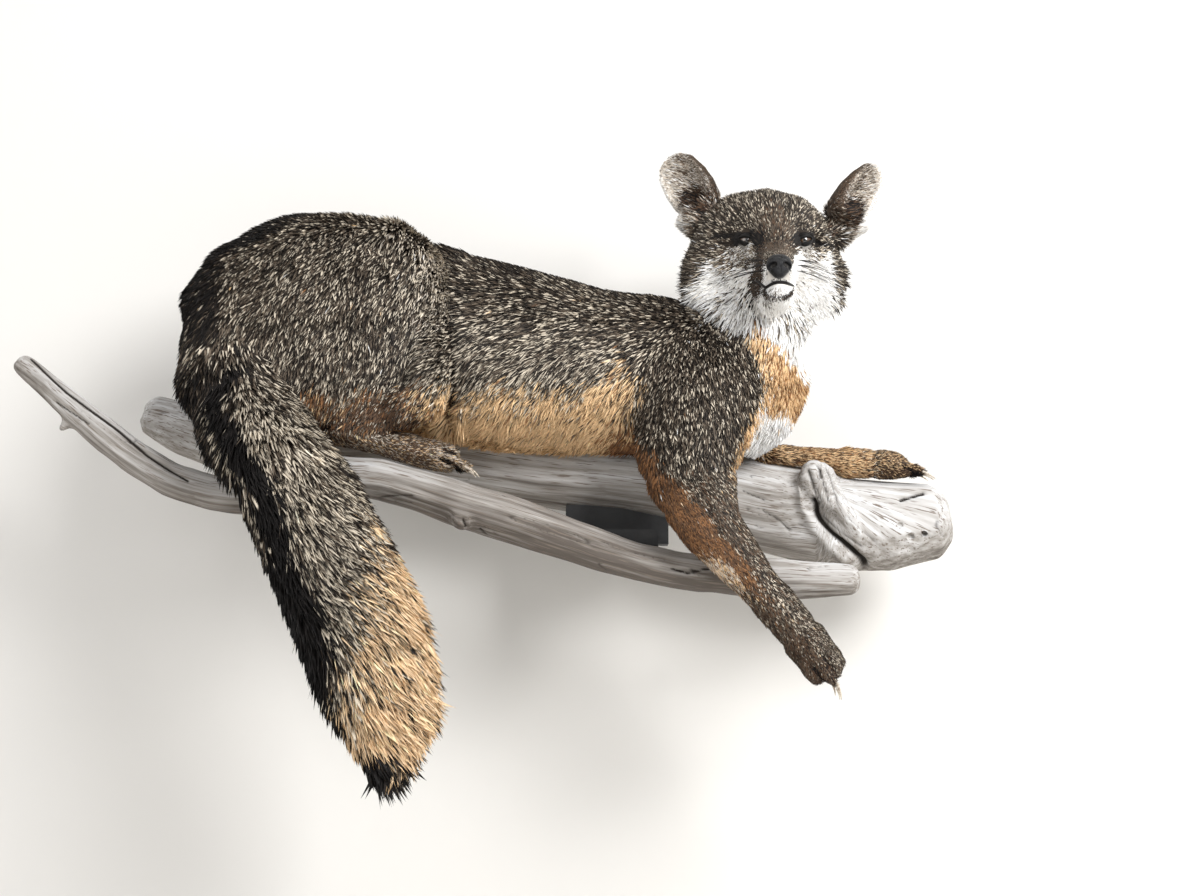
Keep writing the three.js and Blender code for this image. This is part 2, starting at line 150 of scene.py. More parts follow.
# %% Socket class
class Wire:
    """A value in a node tree. Python operators on it add Math nodes."""

    def __init__(self, tree, socket):
        self.tree = tree
        self.socket = socket

    def node(self, kind, settings=None, inputs=None, output=0):
        """Adds any node: its type, its settings, then the values or links of its sockets."""
        made = self.tree.nodes.new(kind)
        for key, value in (settings or {}).items():
            if key == "stops":
                paint_ramp(made.color_ramp, value)
            else:
                setattr(made, key, value)
        for key, value in (inputs or {}).items():
            if isinstance(value, Wire):
                self.tree.links.new(value.socket, made.inputs[key])
            else:
                made.inputs[key].default_value = value
        return Wire(self.tree, made.outputs[output])

    def noise(self, place, scale, detail=2.0, roughness=0.5):
        """Soft noise over a place: the higher the scale, the smaller its lumps."""
        inputs = {"Vector": place, "Scale": scale, "Detail": detail, "Roughness": roughness}
        return self.node("ShaderNodeTexNoise", None, inputs)

    def bump(self, height, strength, distance):
        """A normal tilted as if the surface rose with the height, by at most the distance in metres."""
        inputs = {"Height": height, "Strength": strength, "Distance": distance}
        return self.node("ShaderNodeBump", None, inputs, "Normal")

    def math(self, operation, *values):
        return self.node("ShaderNodeMath", {"operation": operation}, dict(enumerate(values)))

    def __add__(self, other):
        return self.math("ADD", self, other)

    def __radd__(self, other):
        return self.math("ADD", other, self)

    def __sub__(self, other):
        return self.math("SUBTRACT", self, other)

    def __rsub__(self, other):
        return self.math("SUBTRACT", other, self)

    def __mul__(self, other):
        return self.math("MULTIPLY", self, other)

    def __rmul__(self, other):
        return self.math("MULTIPLY", other, self)

    def __truediv__(self, other):
        return self.math("DIVIDE", self, other)

    def __pow__(self, other):
        return self.math("POWER", self, other)

    def rise(self, start, end):
        """A smooth step from 0 at start to 1 at end."""
        inputs = {"Value": self, "From Min": start, "From Max": end}
        return self.node("ShaderNodeMapRange", {"interpolation_type": "SMOOTHSTEP"}, inputs)

    def mix(self, first, second):
        """This value's blend of two colours: first at 0 and second at 1."""
        inputs = {"Factor": self, 6: first, 7: second}
        return self.node("ShaderNodeMix", {"data_type": "RGBA"}, inputs, 2)


def paint_ramp(ramp, stops):
    """Sets a colour ramp's stops from pairs of place and colour."""
    while len(ramp.elements) < len(stops):
        ramp.elements.new(0.5)
    for element, (place, colour) in zip(ramp.elements, stops):
        element.position = place
        element.color = colour


def ink(red, green, blue):
    """A colour given in the 0 to 255 steps of a screen, as the linear values that light adds up in."""
    share = np.array([red, green, blue]) / 255
    linear = np.where(share <= 0.04045, share / 12.92, ((share + 0.055) / 1.055) ** 2.4)
    return (*linear.tolist(), 1.0)


def start_material(name, roughness=0.5, specular=0.3):
    """A material with a Principled shader, and a Wire to begin its expressions from."""
    material = bpy.data.materials.new(name)
    material.use_nodes = True
    shader = material.node_tree.nodes["Principled BSDF"]
    shader.inputs["Roughness"].default_value = roughness
    shader.inputs["Specular IOR Level"].default_value = specular
    return material, shader, Wire(material.node_tree, None)


def plug(wire, shader, socket):
    wire.tree.links.new(wire.socket, shader.inputs[socket])


# %% Wall, floor, lamps and sky
def stage_sheet(name, points, colour):
    """A flat sheet of the stage that shows only its front face."""
    sheet = put_mesh(name, points, np.array([[0, 1, 2, 3]]), smooth=False)
    material, shader, wire = start_material(name + "_paint", roughness=0.9, specular=0.0)
    shader.inputs["Base Color"].default_value = colour
    tree = material.node_tree
    clear = tree.nodes.new("ShaderNodeBsdfTransparent")
    side = wire.node("ShaderNodeNewGeometry", output="Backfacing")
    cover = tree.nodes.new("ShaderNodeMixShader")
    tree.links.new(side.socket, cover.inputs[0])
    tree.links.new(shader.outputs[0], cover.inputs[1])
    tree.links.new(clear.outputs[0], cover.inputs[2])
    tree.links.new(cover.outputs[0], tree.nodes["Material Output"].inputs[0])
    sheet.data.materials.append(material)
    return sheet


floor_level = np.array(cad_box[0])[2] / MM - FLOOR_BELOW
wall_face = plate_high[1] + WALL_BEHIND
REACH = 4000.0
stage_sheet(
    "floor",
    [[-REACH, -REACH, floor_level], [REACH, -REACH, floor_level],
     [REACH, REACH, floor_level], [-REACH, REACH, floor_level]],
    ink(226, 224, 220),
)
stage_sheet(
    "wall",
    [[-REACH, wall_face, floor_level], [REACH, wall_face, floor_level],
     [REACH, wall_face, REACH], [-REACH, wall_face, REACH]],
    ink(226, 224, 220),
)


def lamp(name, place, aim, size, watts):
    """A square area lamp at a place in millimetres that faces the aim."""
    data = bpy.data.lights.new(name, "AREA")
    data.size = size * MM
    data.energy = watts
    light = bpy.data.objects.new(name, data)
    light.location = np.array(place) * MM
    sight = Vector((np.array(aim) - np.array(place)).tolist())
    light.rotation_euler = sight.to_track_quat("-Z", "Y").to_euler()
    scene.collection.objects.link(light)


lamp("key_lamp", (1100, -1400, 800), (50, -90, 60), 800, 40)
lamp("fill_lamp", (-1300, -1400, 500), (0, -90, 60), 1200, 10)
lamp("back_lamp", (300, 1600, 1300), (50, -90, 60), 1200, 20)

world = bpy.data.worlds.new("sky")
scene.world = world
world.use_nodes = True
sky = Wire(world.node_tree, None)
camera_ray = sky.node("ShaderNodeLightPath", output="Is Camera Ray")
glossy_ray = Wire(sky.tree, camera_ray.socket.node.outputs["Is Glossy Ray"])
clear_ray = Wire(sky.tree, camera_ray.socket.node.outputs["Is Transmission Ray"])
seen = camera_ray.math("MAXIMUM", camera_ray.math("MAXIMUM", camera_ray, glossy_ray), clear_ray)
backdrop = world.node_tree.nodes["Background"]
plug(seen.mix(ink(186, 186, 188), ink(240, 239, 236)), backdrop, "Color")
backdrop.inputs["Strength"].default_value = 1.0
print("floor at", round(floor_level), "mm, wall at", round(wall_face), "mm")

# %% [markdown]
# ## Shapes from distances
# Soft, joined forms are easiest as signed distances: on a grid of points, how far each is from a
# surface, negative inside. Shapes then join, shrink or soften by plain sums, and a mesh is drawn
# where the values pass through zero.

# %% Small helpers
def step(value, start, end):
    """A smooth step from 0 at start to 1 at end: three squares less two cubes of the way between."""
    way = np.clip((value - start) / (end - start), 0, 1)
    return way * way * (3 - 2 * way)


def ripple(points, wave, seed):
    """Soft noise from -1 to 1: the mean of six sine waves of about that length in chosen directions."""
    dice = np.random.default_rng(seed)
    total = 0
    for _ in range(6):
        way = dice.normal(size=3)
        way *= dice.uniform(0.7, 1.4) * 2 * math.pi / wave / np.linalg.norm(way)
        total = total + np.sin(points @ way + dice.uniform(0, 6.3))
    return total / 3


def unit(vectors):
    return vectors / np.maximum(np.linalg.norm(vectors, axis=1, keepdims=True), 1e-9)


def triangles_of(nodes):
    """Points in millimetres and triangles of several nodes, one after another."""
    points, faces, count = [], [], 0
    for node in nodes:
        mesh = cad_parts[node].data
        spots = np.empty(len(mesh.vertices) * 3, np.float32)
        mesh.vertices.foreach_get("co", spots)
        mesh.calc_loop_triangles()
        corner = np.empty(len(mesh.loop_triangles) * 3, np.int32)
        mesh.loop_triangles.foreach_get("vertices", corner)
        points.append(spots.reshape(-1, 3) / MM)
        faces.append(corner.reshape(-1, 3) + count)
        count += len(mesh.vertices)
    return np.concatenate(points), np.concatenate(faces)


# %% Signed distance on a box grid
class Field:
    """Values on a box grid of equal steps, with its lowest corner."""

    def __init__(self, values, low, step):
        self.values = values
        self.low = np.asarray(low, float)
        self.step = step

    def places(self, line, axis):
        """The grid line below each coordinate, and how far it is towards the next."""
        spot = (np.asarray(line) - self.low[axis]) / self.step
        base = np.clip(np.floor(spot).astype(np.int32), 0, self.values.shape[axis] - 2)
        return base, np.clip(spot - base, 0, 1).astype(np.float32)

    def on_lines(self, lines):
        """Reads the field on the crossings of three sets of lines, one axis at a time."""
        values = self.values
        for axis, line in enumerate(lines):
            base, part = self.places(line, axis)
            part = part.reshape([-1 if a == axis else 1 for a in range(3)])
            values = np.take(values, base, axis) * (1 - part) + np.take(values, base + 1, axis) * part
        return values

    def at(self, points):
        """Reads the field at scattered points: the eight corners of each cell, by nearness."""
        base, part = zip(*(self.places(points[:, axis], axis) for axis in range(3)))
        total = 0
        for step in itertools.product((0, 1), repeat=3):
            share = 1
            for axis in range(3):
                share = share * (part[axis] if step[axis] else 1 - part[axis])
            read = self.values[base[0] + step[0], base[1] + step[1], base[2] + step[2]]
            total = total + read * (share if read.ndim == 1 else share[:, None])
        return total


def distances(points, faces, step, outside, inside, quads=None):
    """Distance from each grid point to the nearest face, negative inside, as a Field."""
    grid = vdb.FloatGrid.createLevelSetFromPolygons(
        np.ascontiguousarray(points, np.float32),
        triangles=np.ascontiguousarray(faces, np.uint32),
        quads=quads,
        transform=vdb.createLinearTransform(voxelSize=step),
        exBandWidth=outside / step,
        inBandWidth=inside / step,
    )
    pad = int(outside / step) + 2
    low = np.floor(points.min(0) / step).astype(int) - pad
    high = np.ceil(points.max(0) / step).astype(int) + pad
    values = np.empty(high - low + 1, np.float32)
    grid.copyToArray(values, ijk=tuple(int(v) for v in low))
    return Field(values, low * step, step)


def soften(values, rounds):
    """Averages each grid value with its neighbours along each axis, 1 : 2 : 1, several times."""
    for _ in range(rounds):
        for axis in range(3):
            count = values.shape[axis]
            ahead = values.take([*range(1, count), count - 1], axis)
            behind = values.take([0, *range(count - 1)], axis)
            values = values * 0.5 + (ahead + behind) * 0.25
    return values


# %% Noise and grids
def value_noise(points, seed):
    """Smooth noise from -1 to 1: values drawn by lot on a lattice, blended across each cell."""
    size = 32
    lattice = np.random.default_rng(seed).uniform(-1, 1, (size, size, size)).astype(np.float32)
    base = np.floor(points).astype(int)
    part = points - base
    part = part * part * (3 - 2 * part)
    total = 0
    for corner in itertools.product((0, 1), repeat=3):
        share_here = np.prod(np.where(corner, part, 1 - part), axis=1)
        index = (base + corner) % size
        total = total + lattice[index[:, 0], index[:, 1], index[:, 2]] * share_here
    return total


def rod(lines, start, end, radius, end_radius=None):
    """Distance to a round rod on crossings of lines: the distance to its middle line less its radius."""
    start, end = np.asarray(start, float), np.asarray(end, float)
    along = end - start
    offsets = [lines[a].reshape([-1 if b == a else 1 for b in range(3)]) - start[a] for a in range(3)]
    reach = np.clip(sum(offsets[a] * along[a] for a in range(3)) / (along @ along), 0, 1)
    apart = np.sqrt(sum((offsets[a] - reach * along[a]) ** 2 for a in range(3)))
    return apart - radius - reach * ((radius if end_radius is None else end_radius) - radius)


def string_of_rods(lines, path, radii):
    """Distance to a bent rod through several points, with a radius at each."""
    pairs = zip(path[:-1], path[1:], radii[:-1], radii[1:])
    return np.minimum.reduce([rod(lines, a, b, start, end) for a, b, start, end in pairs])


def join_softly(first, second, blend):
    """The smaller of two distances, with the corner between them rounded over the blend width."""
    mixed = np.clip(0.5 + 0.5 * (second - first) / blend, 0, 1)
    return second + (first - second) * mixed - blend * mixed * (1 - mixed)


def surface_of(values, lines):
    """Points and square faces where values on crossings of lines pass through zero, facing outwards."""
    grid = vdb.FloatGrid(float(values.max()))
    grid.copyFromArray(np.ascontiguousarray(values, dtype=np.float32))
    points, faces = grid.convertToQuads(isovalue=0)
    steps = [np.arange(len(line)) for line in lines]
    points = np.stack([np.interp(points[:, a], steps[a], lines[a]) for a in range(3)], 1)
    first, second, third = (points[faces[:, k]] for k in range(3))
    volume = np.einsum("ij,ij->", first, np.cross(second, third))
    return points, faces[:, ::-1] if volume < 0 else faces


def normals_of(piece):
    """A mesh's outward direction at each point."""
    found = np.empty(len(piece.data.vertices) * 3, np.float32)
    piece.data.vertex_normals.foreach_get("vector", found)
    return found.reshape(-1, 3)

# %% [markdown]
# ## Driftwood
# Two pieces of silvered wood carry the fox: a short thick log with a burl at its wide end, and a long
# bent branch in front of it. Sea and sun round such wood, then open long cracks along its grain. Each
# piece starts as distances to its solid, so knots and stubs flow into the stem. Then its surface is
# pushed in and out by noise that is drawn out along the grain.

# %% Grain
def grain_of(points):
    """Each point's place in the wood's own terms: along the stem, and across it both ways.

    The stem's middle line is the mean of the points in each short length, softened. Along is the
    length of that line up to the point, and across is the offset from it, square to the line.
    """
    slot = np.round((points[:, 0] - points[:, 0].min()) / 12).astype(int)
    count = np.bincount(slot)
    stem = np.stack([np.bincount(slot, points[:, a]) / count for a in range(3)], 1)
    for _ in range(3):
        stem[1:-1] = stem[1:-1] * 0.5 + (stem[2:] + stem[:-2]) * 0.25
    length = np.concatenate([[0], np.cumsum(np.linalg.norm(np.diff(stem, axis=0), axis=1))])
    way = unit(np.gradient(stem, axis=0))
    base = np.stack([np.interp(points[:, 0], stem[:, 0], stem[:, a]) for a in range(3)], 1)
    heading = unit(np.stack([np.interp(points[:, 0], stem[:, 0], way[:, a]) for a in range(3)], 1))
    offset = points - base
    ahead = np.einsum("ij,ij->i", offset, heading)
    offset -= ahead[:, None] * heading
    over = np.cross(heading, [0.0, 1.0, 0.0])
    along = np.interp(points[:, 0], stem[:, 0], length) + ahead
    return np.stack([along, offset[:, 1], np.einsum("ij,ij->i", offset, over)], 1)


def front_line(points, outward, path, width):
    """How near each point of the front is to a line drawn on it: 1 on the line, fading over a width.

    The line is seen square from the front, so only its X and Z are used.
    """
    spots = points[:, [0, 2]]
    near = np.full(len(points), np.inf)
    for start, end in zip(np.asarray(path[:-1], float), np.asarray(path[1:], float)):
        way = end - start
        reach = np.clip((spots - start) @ way / (way @ way), 0, 1)
        near = np.minimum(near, np.linalg.norm(spots - start - reach[:, None] * way, axis=1))
    return np.exp(-(near / width) ** 2) * step(-outward[:, 1], 0.05, 0.4)


# %% Wood pieces
WOOD_STEP = 1.75
GRAIN_STRETCH = 26.0


def wood_piece(name, node, shape, lines_drawn, seed, fan=None):
    """A length of driftwood in a node's place: its distances, own features, then grain.

    Each drawn line is a path with its width, its depth and how dark it is. A fan is a knot that the
    grain on its right spreads out from.
    """
    outside = distances(*triangles_of([node]), WOOD_STEP, 9.0, 12.0)
    size = outside.values.shape
    lines = [outside.low[a] + np.arange(size[a]) * WOOD_STEP for a in range(3)]
    points, faces = surface_of(shape(soften(outside.values, 3), lines), lines)
    piece = put_mesh(name, points, faces)
    outward = normals_of(piece)
    grain = grain_of(points)
    if fan is not None:
        away = points - fan
        turned = np.stack([np.hypot(away[:, 0], away[:, 2]), away[:, 1],
                           np.arctan2(away[:, 2], away[:, 0]) * 45], 1)
        share_here = step(away[:, 0], -4, 12)[:, None]
        grain = grain * (1 - share_here) + turned * share_here
    drawn = grain / [GRAIN_STRETCH, 1, 1]
    lumps = value_noise(points / 24, seed) * 1.0 + value_noise(drawn / 6, seed + 1) * 0.7
    ridges = value_noise(drawn / 2.4, seed + 2) * 0.35
    across_cracks = value_noise(drawn / [3.0, 8.0, 8.0], seed + 3)
    open_here = step(value_noise(drawn / [4, 9, 9] + 7, seed + 4), 0.05, 0.4)
    crack = np.exp(-(across_cracks / 0.035) ** 2) * open_here * 0.5
    pushed = lumps + ridges - 1.5 * crack - 0.6
    for path, width, depth, dark in lines_drawn:
        near = front_line(points, outward, path, width)
        pushed = pushed - depth * near
        crack = np.maximum(crack, dark * near)
    moved = points + outward * pushed[:, None]
    piece.data.vertices.foreach_set("co", (moved * MM).astype(np.float32).ravel())
    piece.data.update()
    note(piece, "grain", drawn / 100, "FLOAT_VECTOR")
    note(piece, "crack", crack)
    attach(piece, "root")
    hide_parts(node)
    print(name, len(points), "points")
    return piece


log_low, log_high = corners("driftwood_log")
LOG_END = np.array([log_high[0], log_low[1], log_low[2]])
BURL = LOG_END + [-114, 14, 73]


def log_shape(values, lines):
    """The log's burl with its hollow eye, and the pits in the worn end of the wood."""
    values = join_softly(values, rod(lines, BURL + [0, 0, 3], BURL + [-1, -2, -14], 13.5, 10), 7)
    for way in ([5, -14, 2], [1, -14, -9], [9, -12, -12], [-3, -13, 8]):
        values = np.maximum(values, -rod(lines, BURL + way, BURL + way + [3, 0, -9], 1.9, 1.1))
    for pit in ([-42, 12, 28], [-30, 16, 32], [-52, 9, 37]):
        values = np.maximum(values, -rod(lines, LOG_END + pit, LOG_END + pit + [3, 5, 1], 2.6, 1.5))
    return values


def whole_shape(values, lines):
    """A stem that keeps its solid's own stubs and knots."""
    return values


def from_end(path):
    """A path of pairs measured from the log's lower far corner, in X and Z."""
    return [LOG_END[[0, 2]] + pair for pair in path]


LIP = from_end([(-130, 74), (-128, 52), (-119, 36), (-105, 19), (-88, 5)])
CREASE = from_end([(-122, 58), (-116, 46), (-103, 30), (-86, 16), (-75, 5)])
LOG_LINES = [
    (LIP, 4.5, -4.2, 0.0),
    (CREASE, 2.4, 6.5, 0.9),
    (from_end([(-118, 66), (-110, 44), (-95, 30), (-80, 20)]), 1.2, 1.6, 0.5),
    (from_end([(-125, 82), (-121, 68), (-115, 50)]), 1.2, 1.8, 0.6),
    (from_end([(-117, 87), (-113, 72), (-108, 55)]), 1.0, 1.6, 0.6),
    (from_end([(-109, 84), (-105, 70), (-101, 54)]), 1.1, 1.6, 0.5),
    (from_end([(-48, 59), (-38, 62), (-28, 65)]), 1.3, 2.6, 0.9),
    (from_end([(-160, 50), (-148, 43), (-138, 33)]), 0.9, 1.0, 0.6),
    (from_end([(-176, 66), (-158, 58)]), 0.9, 1.0, 0.6),
    (from_end([(-92, 43), (-80, 33), (-70, 24)]), 1.1, 1.3, 0.4),
    (from_end([(-96, 60), (-76, 52), (-58, 47)]), 1.2, 1.1, 0.3),
    (from_end([(-36, 20), (-22, 30), (-12, 44)]), 1.8, -1.6, 0.0),
]
branch_low, branch_high = corners("driftwood_branch")
BRANCH_TIP = np.array([branch_high[0], branch_low[2]])


def from_tip(path):
    """A path of pairs measured from the branch's lower far corner, in X and Z."""
    return [BRANCH_TIP + pair for pair in path]


BRANCH_LINES = [
    (from_tip([(-664, 196), (-631, 166), (-589, 136), (-562, 114.5), (-528, 93)]), 1.1, 1.6, 0.95),
    (from_tip([(-150, 24), (-138, 21), (-116, 26)]), 1.0, 1.4, 0.9),
    (from_tip([(-640, 158), (-612, 140)]), 1.0, 1.2, 0.7),
    (from_tip([(-402, 84), (-380, 79), (-351, 80)]), 0.9, 1.0, 0.6),
    (from_tip([(-312, 62), (-306, 48), (-316, 42)]), 1.3, 1.8, 0.8),
    (from_tip([(-300, 55), (-290, 47)]), 1.1, 1.4, 0.7),
]

log = wood_piece("driftwood_log_grain", "driftwood_log", log_shape, LOG_LINES, 41, BURL)
branch = wood_piece("driftwood_branch_grain", "driftwood_branch", whole_shape, BRANCH_LINES, 71)


# %% Wood finish
def wood_material(name, shade, right_shade):
    """Silver wood: pale worn ridges, grey hollows and dark cracks, with painted light and shade: faces that
    turn up are lighter, undersides darker and browner, and the shade amounts darken the whole piece and a
    stretch of it to the right.
    """
    material, shader, wire = start_material(name, roughness=0.75, specular=0.2)
    grain = wire.node("ShaderNodeAttribute", {"attribute_name": "grain"}, output="Vector")
    crack = wire.node("ShaderNodeAttribute", {"attribute_name": "crack"}, output="Fac")
    place = wire.node("ShaderNodeTexCoord", output="Object")
    fine = wire.noise(grain, 26.0, 6.0, 0.6)
    threads = wire.noise(grain, 95.0, 2.0)
    cloud = wire.noise(place, 14.0, 2.0)
    facing = wire.node("ShaderNodeNewGeometry", output="Normal")
    up = wire.node("ShaderNodeSeparateXYZ", None, {"Vector": facing}, output="Z")
    along = wire.node("ShaderNodeSeparateXYZ", None, {"Vector": place}, output="X")
    # Painted shade: a stretch of the wood from x = -0.06 m to 0.19 m is darkened by right_shade.
    shadowed_span = along.rise(-0.06, 0.12) - along.rise(0.19, 0.22)
    # Painted light and shade: faces that turn up are lightened and undersides darkened, and the shade amounts
    # darken the piece.
    tone = fine * 0.7 + cloud * 0.35 + up * 0.13 - shade - shadowed_span * right_shade
    pale = wire.node("ShaderNodeValToRGB", {"stops": [
        (0.26, ink(96, 89, 83)), (0.42, ink(150, 145, 139)), (0.56, ink(184, 181, 178)),
        (0.76, ink(222, 224, 225))]}, {"Fac": tone})
    thin = threads.rise(0.33, 0.43)
    lined = thin.mix(ink(120, 110, 101), pale)
    split = crack.rise(0.15, 0.75)
    colour = split.mix(lined, ink(38, 33, 29))
    plug(colour, shader, "Base Color")
    height = fine * 0.6 + threads * 0.4
    bump = wire.bump(height, 0.55, 0.0012)
    plug(bump, shader, "Normal")
    return material


log.data.materials.append(wood_material("pale_driftwood", 0.0, 0.0))
# The branch is darker overall and along its right stretch by painted shade.
branch.data.materials.append(wood_material("grey_driftwood_painted_shade", 0.1, 0.14))

# %% [markdown]
# ## The skin's own shape
# The solids of flesh are parted by thin gaps and have flat facets. A real mount has one tanned skin
# over a form. The solids go into a grid of signed distances, where gaps close, facets soften, and
# the surface moves inwards by as much as the coat is deep at each place. Grid lines stand closer at
# the head, so that its small forms get more points.

# %% Flesh table: coat depth, hair length and width in mm, tufts per square cm, and lie
FLESH = {
    "trunk": (8.5, 19, 1.25, 98, (-1.0, 0.0, -0.2)),
    "neck": (11.0, 21, 1.1, 105, (-0.35, 0.0, -0.9)),
    "head": (5.0, 12, 0.85, 190, (0.0, 1.0, 0.0)),
    "muzzle": (1.4, 5, 0.6, 420, (0.0, 1.0, 0.2)),
    "lower_jaw": (2.2, 7, 0.65, 320, (0.0, 1.0, -0.3)),
    "ear_right": (0.25, 2.4, 0.5, 200, (-0.5, 0.0, 0.85)),
    "ear_left": (0.25, 2.4, 0.5, 200, (0.65, 0.1, 0.75)),
    "foreleg_right_upper": (7.0, 14, 1.1, 110, (0.05, 0.0, -1.0)),
    "foreleg_right_lower": (2.6, 9, 0.95, 150, (0.6, 0.0, -0.8)),
    "forepaw_right": (1.8, 5, 0.75, 230, (0.5, -0.1, -0.85)),
    "foreleg_left_upper": (7.0, 14, 1.2, 90, (0.5, 0.0, -0.85)),
    "foreleg_left_lower": (3.0, 9, 0.95, 140, (1.0, 0.0, -0.1)),
    "forepaw_left": (1.6, 5, 0.75, 220, (1.0, 0.0, -0.05)),
    "hindleg_right_thigh": (9.0, 17, 1.25, 100, (-0.35, 0.0, -0.95)),
    "hindleg_right_shank": (4.5, 10, 1.0, 120, (-0.6, 0.0, -0.8)),
    "hindfoot_right": (1.8, 6, 0.8, 210, (1.0, -0.1, -0.25)),
    "hindleg_left_thigh": (8.0, 18, 1.5, 50, (-0.35, 0.0, -0.95)),
    "hindleg_left_shank": (4.5, 11, 1.3, 60, (-0.6, 0.0, -0.8)),
    "hindfoot_left": (2.0, 7, 1.0, 90, (1.0, 0.0, -0.1)),
    "tail_root": (13.0, 26, 1.4, 72, (0.2, -0.1, -0.95)),
    "tail_middle": (17.0, 33, 1.45, 66, (0.5, -0.1, -0.85)),
    "tail_end": (17.0, 36, 1.45, 66, (0.3, 0.0, -0.95)),
}
NAMES = list(FLESH)
SOLID_TOO = ["eye_left", "eye_right", "nose_pad"]


# %% Closed outline of the flesh
FINE_STEP = 1.5
GAP_CLOSED = 0.6
DEEPEST_COAT = 27.0
spots, faces = triangles_of(NAMES + SOLID_TOO)
solid = distances(spots, faces, FINE_STEP, 4.5, 4.5)
closed = vdb.FloatGrid(solid.values.max())
closed.copyFromArray(solid.values)
spots, faces, quads = closed.convertToPolygons(isovalue=GAP_CLOSED)
spots = spots * FINE_STEP + solid.low
outline = distances(spots, faces, FINE_STEP, 6.0, DEEPEST_COAT, quads)
print("flesh outline on a grid of", outline.values.shape)

# %% [markdown]
# ## Which part a place belongs to
# Every later step asks how much a place belongs to each named part. A part's share falls off with
# the distance from its solid, so that coat depth, hair length and lie pass smoothly from one part to
# the next.

# %% Shares of each part
COARSE_STEP = 4.0
SHARE_FADE = 5.0
low = outline.low
span = np.array(outline.values.shape) * FINE_STEP
coarse_lines = [np.arange(low[a], low[a] + span[a] + COARSE_STEP, COARSE_STEP) for a in range(3)]
shares = np.empty([len(line) for line in coarse_lines] + [len(NAMES)], np.float32)
for number, node in enumerate(NAMES):
    near = distances(*triangles_of([node]), COARSE_STEP, 40.0, 24.0)
    shares[..., number] = np.exp(-near.on_lines(coarse_lines) / SHARE_FADE)
shares /= shares.sum(-1, keepdims=True)
share_field = Field(shares, low, COARSE_STEP)
depths = np.array([FLESH[node][0] for node in NAMES], np.float32)
depth_field = Field(shares @ depths, low, COARSE_STEP)
print("coat depth from", depth_field.values.min(), "to", depth_field.values.max())

# %% Skin grid: closer lines at the head and toes
WIDE_STEP = 4.0
CLOSE_STEP = 1.45
CROSS_STEP = 2.2
TOES_LONG = 28.0
head_low = corners("head")[0]
ear_low = corners("ear_right")[0]


def graded(start, end, spans):
    """Grid lines a wide step apart, and a close step apart inside each of the given spans."""
    places = [start]
    while places[-1] < end:
        close = any(low <= places[-1] < high for low, high in spans)
        places.append(places[-1] + (CLOSE_STEP if close else WIDE_STEP))
    return np.array(places, np.float32)


whole_low, whole_high = spots.min(0) - 6, spots.max(0) + 6
near_paw, far_paw, hind_foot = (corners(node) for node in ("forepaw_right", "forepaw_left", "hindfoot_right"))
lines = [
    graded(whole_low[0], whole_high[0], [
        (hind_foot[1][0] - TOES_LONG, hind_foot[1][0] + 3), (ear_low[0] - 3, far_paw[1][0] + 3)]),
    np.arange(whole_low[1], whole_high[1], CROSS_STEP, dtype=np.float32),
    graded(whole_low[2], whole_high[2], [
        (near_paw[0][2] - 3, near_paw[1][2]), (hind_foot[0][2] - 3, far_paw[1][2] + 3),
        (head_low[2] - 2, whole_high[2])]),
]
skin_distance = outline.on_lines(lines)
coat_depth = depth_field.on_lines(lines)
print("skin grid", skin_distance.shape)

# %% [markdown]
# ## One skin
# The softened distances, moved inwards by the coat's depth, give the skin. Ears and feet are thin, so
# they keep their own shape, and a short root joins each ear to the head under the fur. Then the skin
# is modelled like clay: rods and balls are joined softly for brows, sockets and chin, and creases
# are pressed in along lines seen from the front, such as the fold before the haunch.

# %% Sculpting helpers
def flat_distance(lines, path):
    """Distance in the front view from each crossing of lines to a path of (x, z) pairs."""
    x = lines[0][:, None]
    z = lines[2][None, :]
    near = np.full((len(lines[0]), len(lines[2])), np.inf)
    for start, end in zip(path[:-1], path[1:]):
        run, rise = end[0] - start[0], end[1] - start[1]
        reach = np.clip(((x - start[0]) * run + (z - start[1]) * rise) / (run * run + rise * rise), 0, 1)
        near = np.minimum(near, np.hypot(x - start[0] - reach * run, z - start[1] - reach * rise))
    return near[:, None, :]


def press(values, lines, path, width, depth, behind):
    """Presses a crease along a path on the front of the form, no further back than the given depth."""
    front = step(lines[1], behind, behind - 12)[None, :, None]
    return values + depth * np.exp(-(flat_distance(lines, path) / width) ** 2) * front


# %% Head landmarks
eye_spots = {side: middle(f"eye_{side}") for side in ("right", "left")}
EYE_RADIUS = (corners("eye_left")[1] - corners("eye_left")[0])[2] / 2
BETWEEN_EYES = (eye_spots["right"] + eye_spots["left"]) / 2
NOSE = middle("nose_pad")
print("between the eyes", BETWEEN_EYES, "eye radius", EYE_RADIUS, "nose", NOSE)


def face_point(u, y, v):
    """A place on the face: u across from between the eyes, y as in the frame, v up from the eyes."""
    return np.array([BETWEEN_EYES[0] + u, y, BETWEEN_EYES[2] + v])


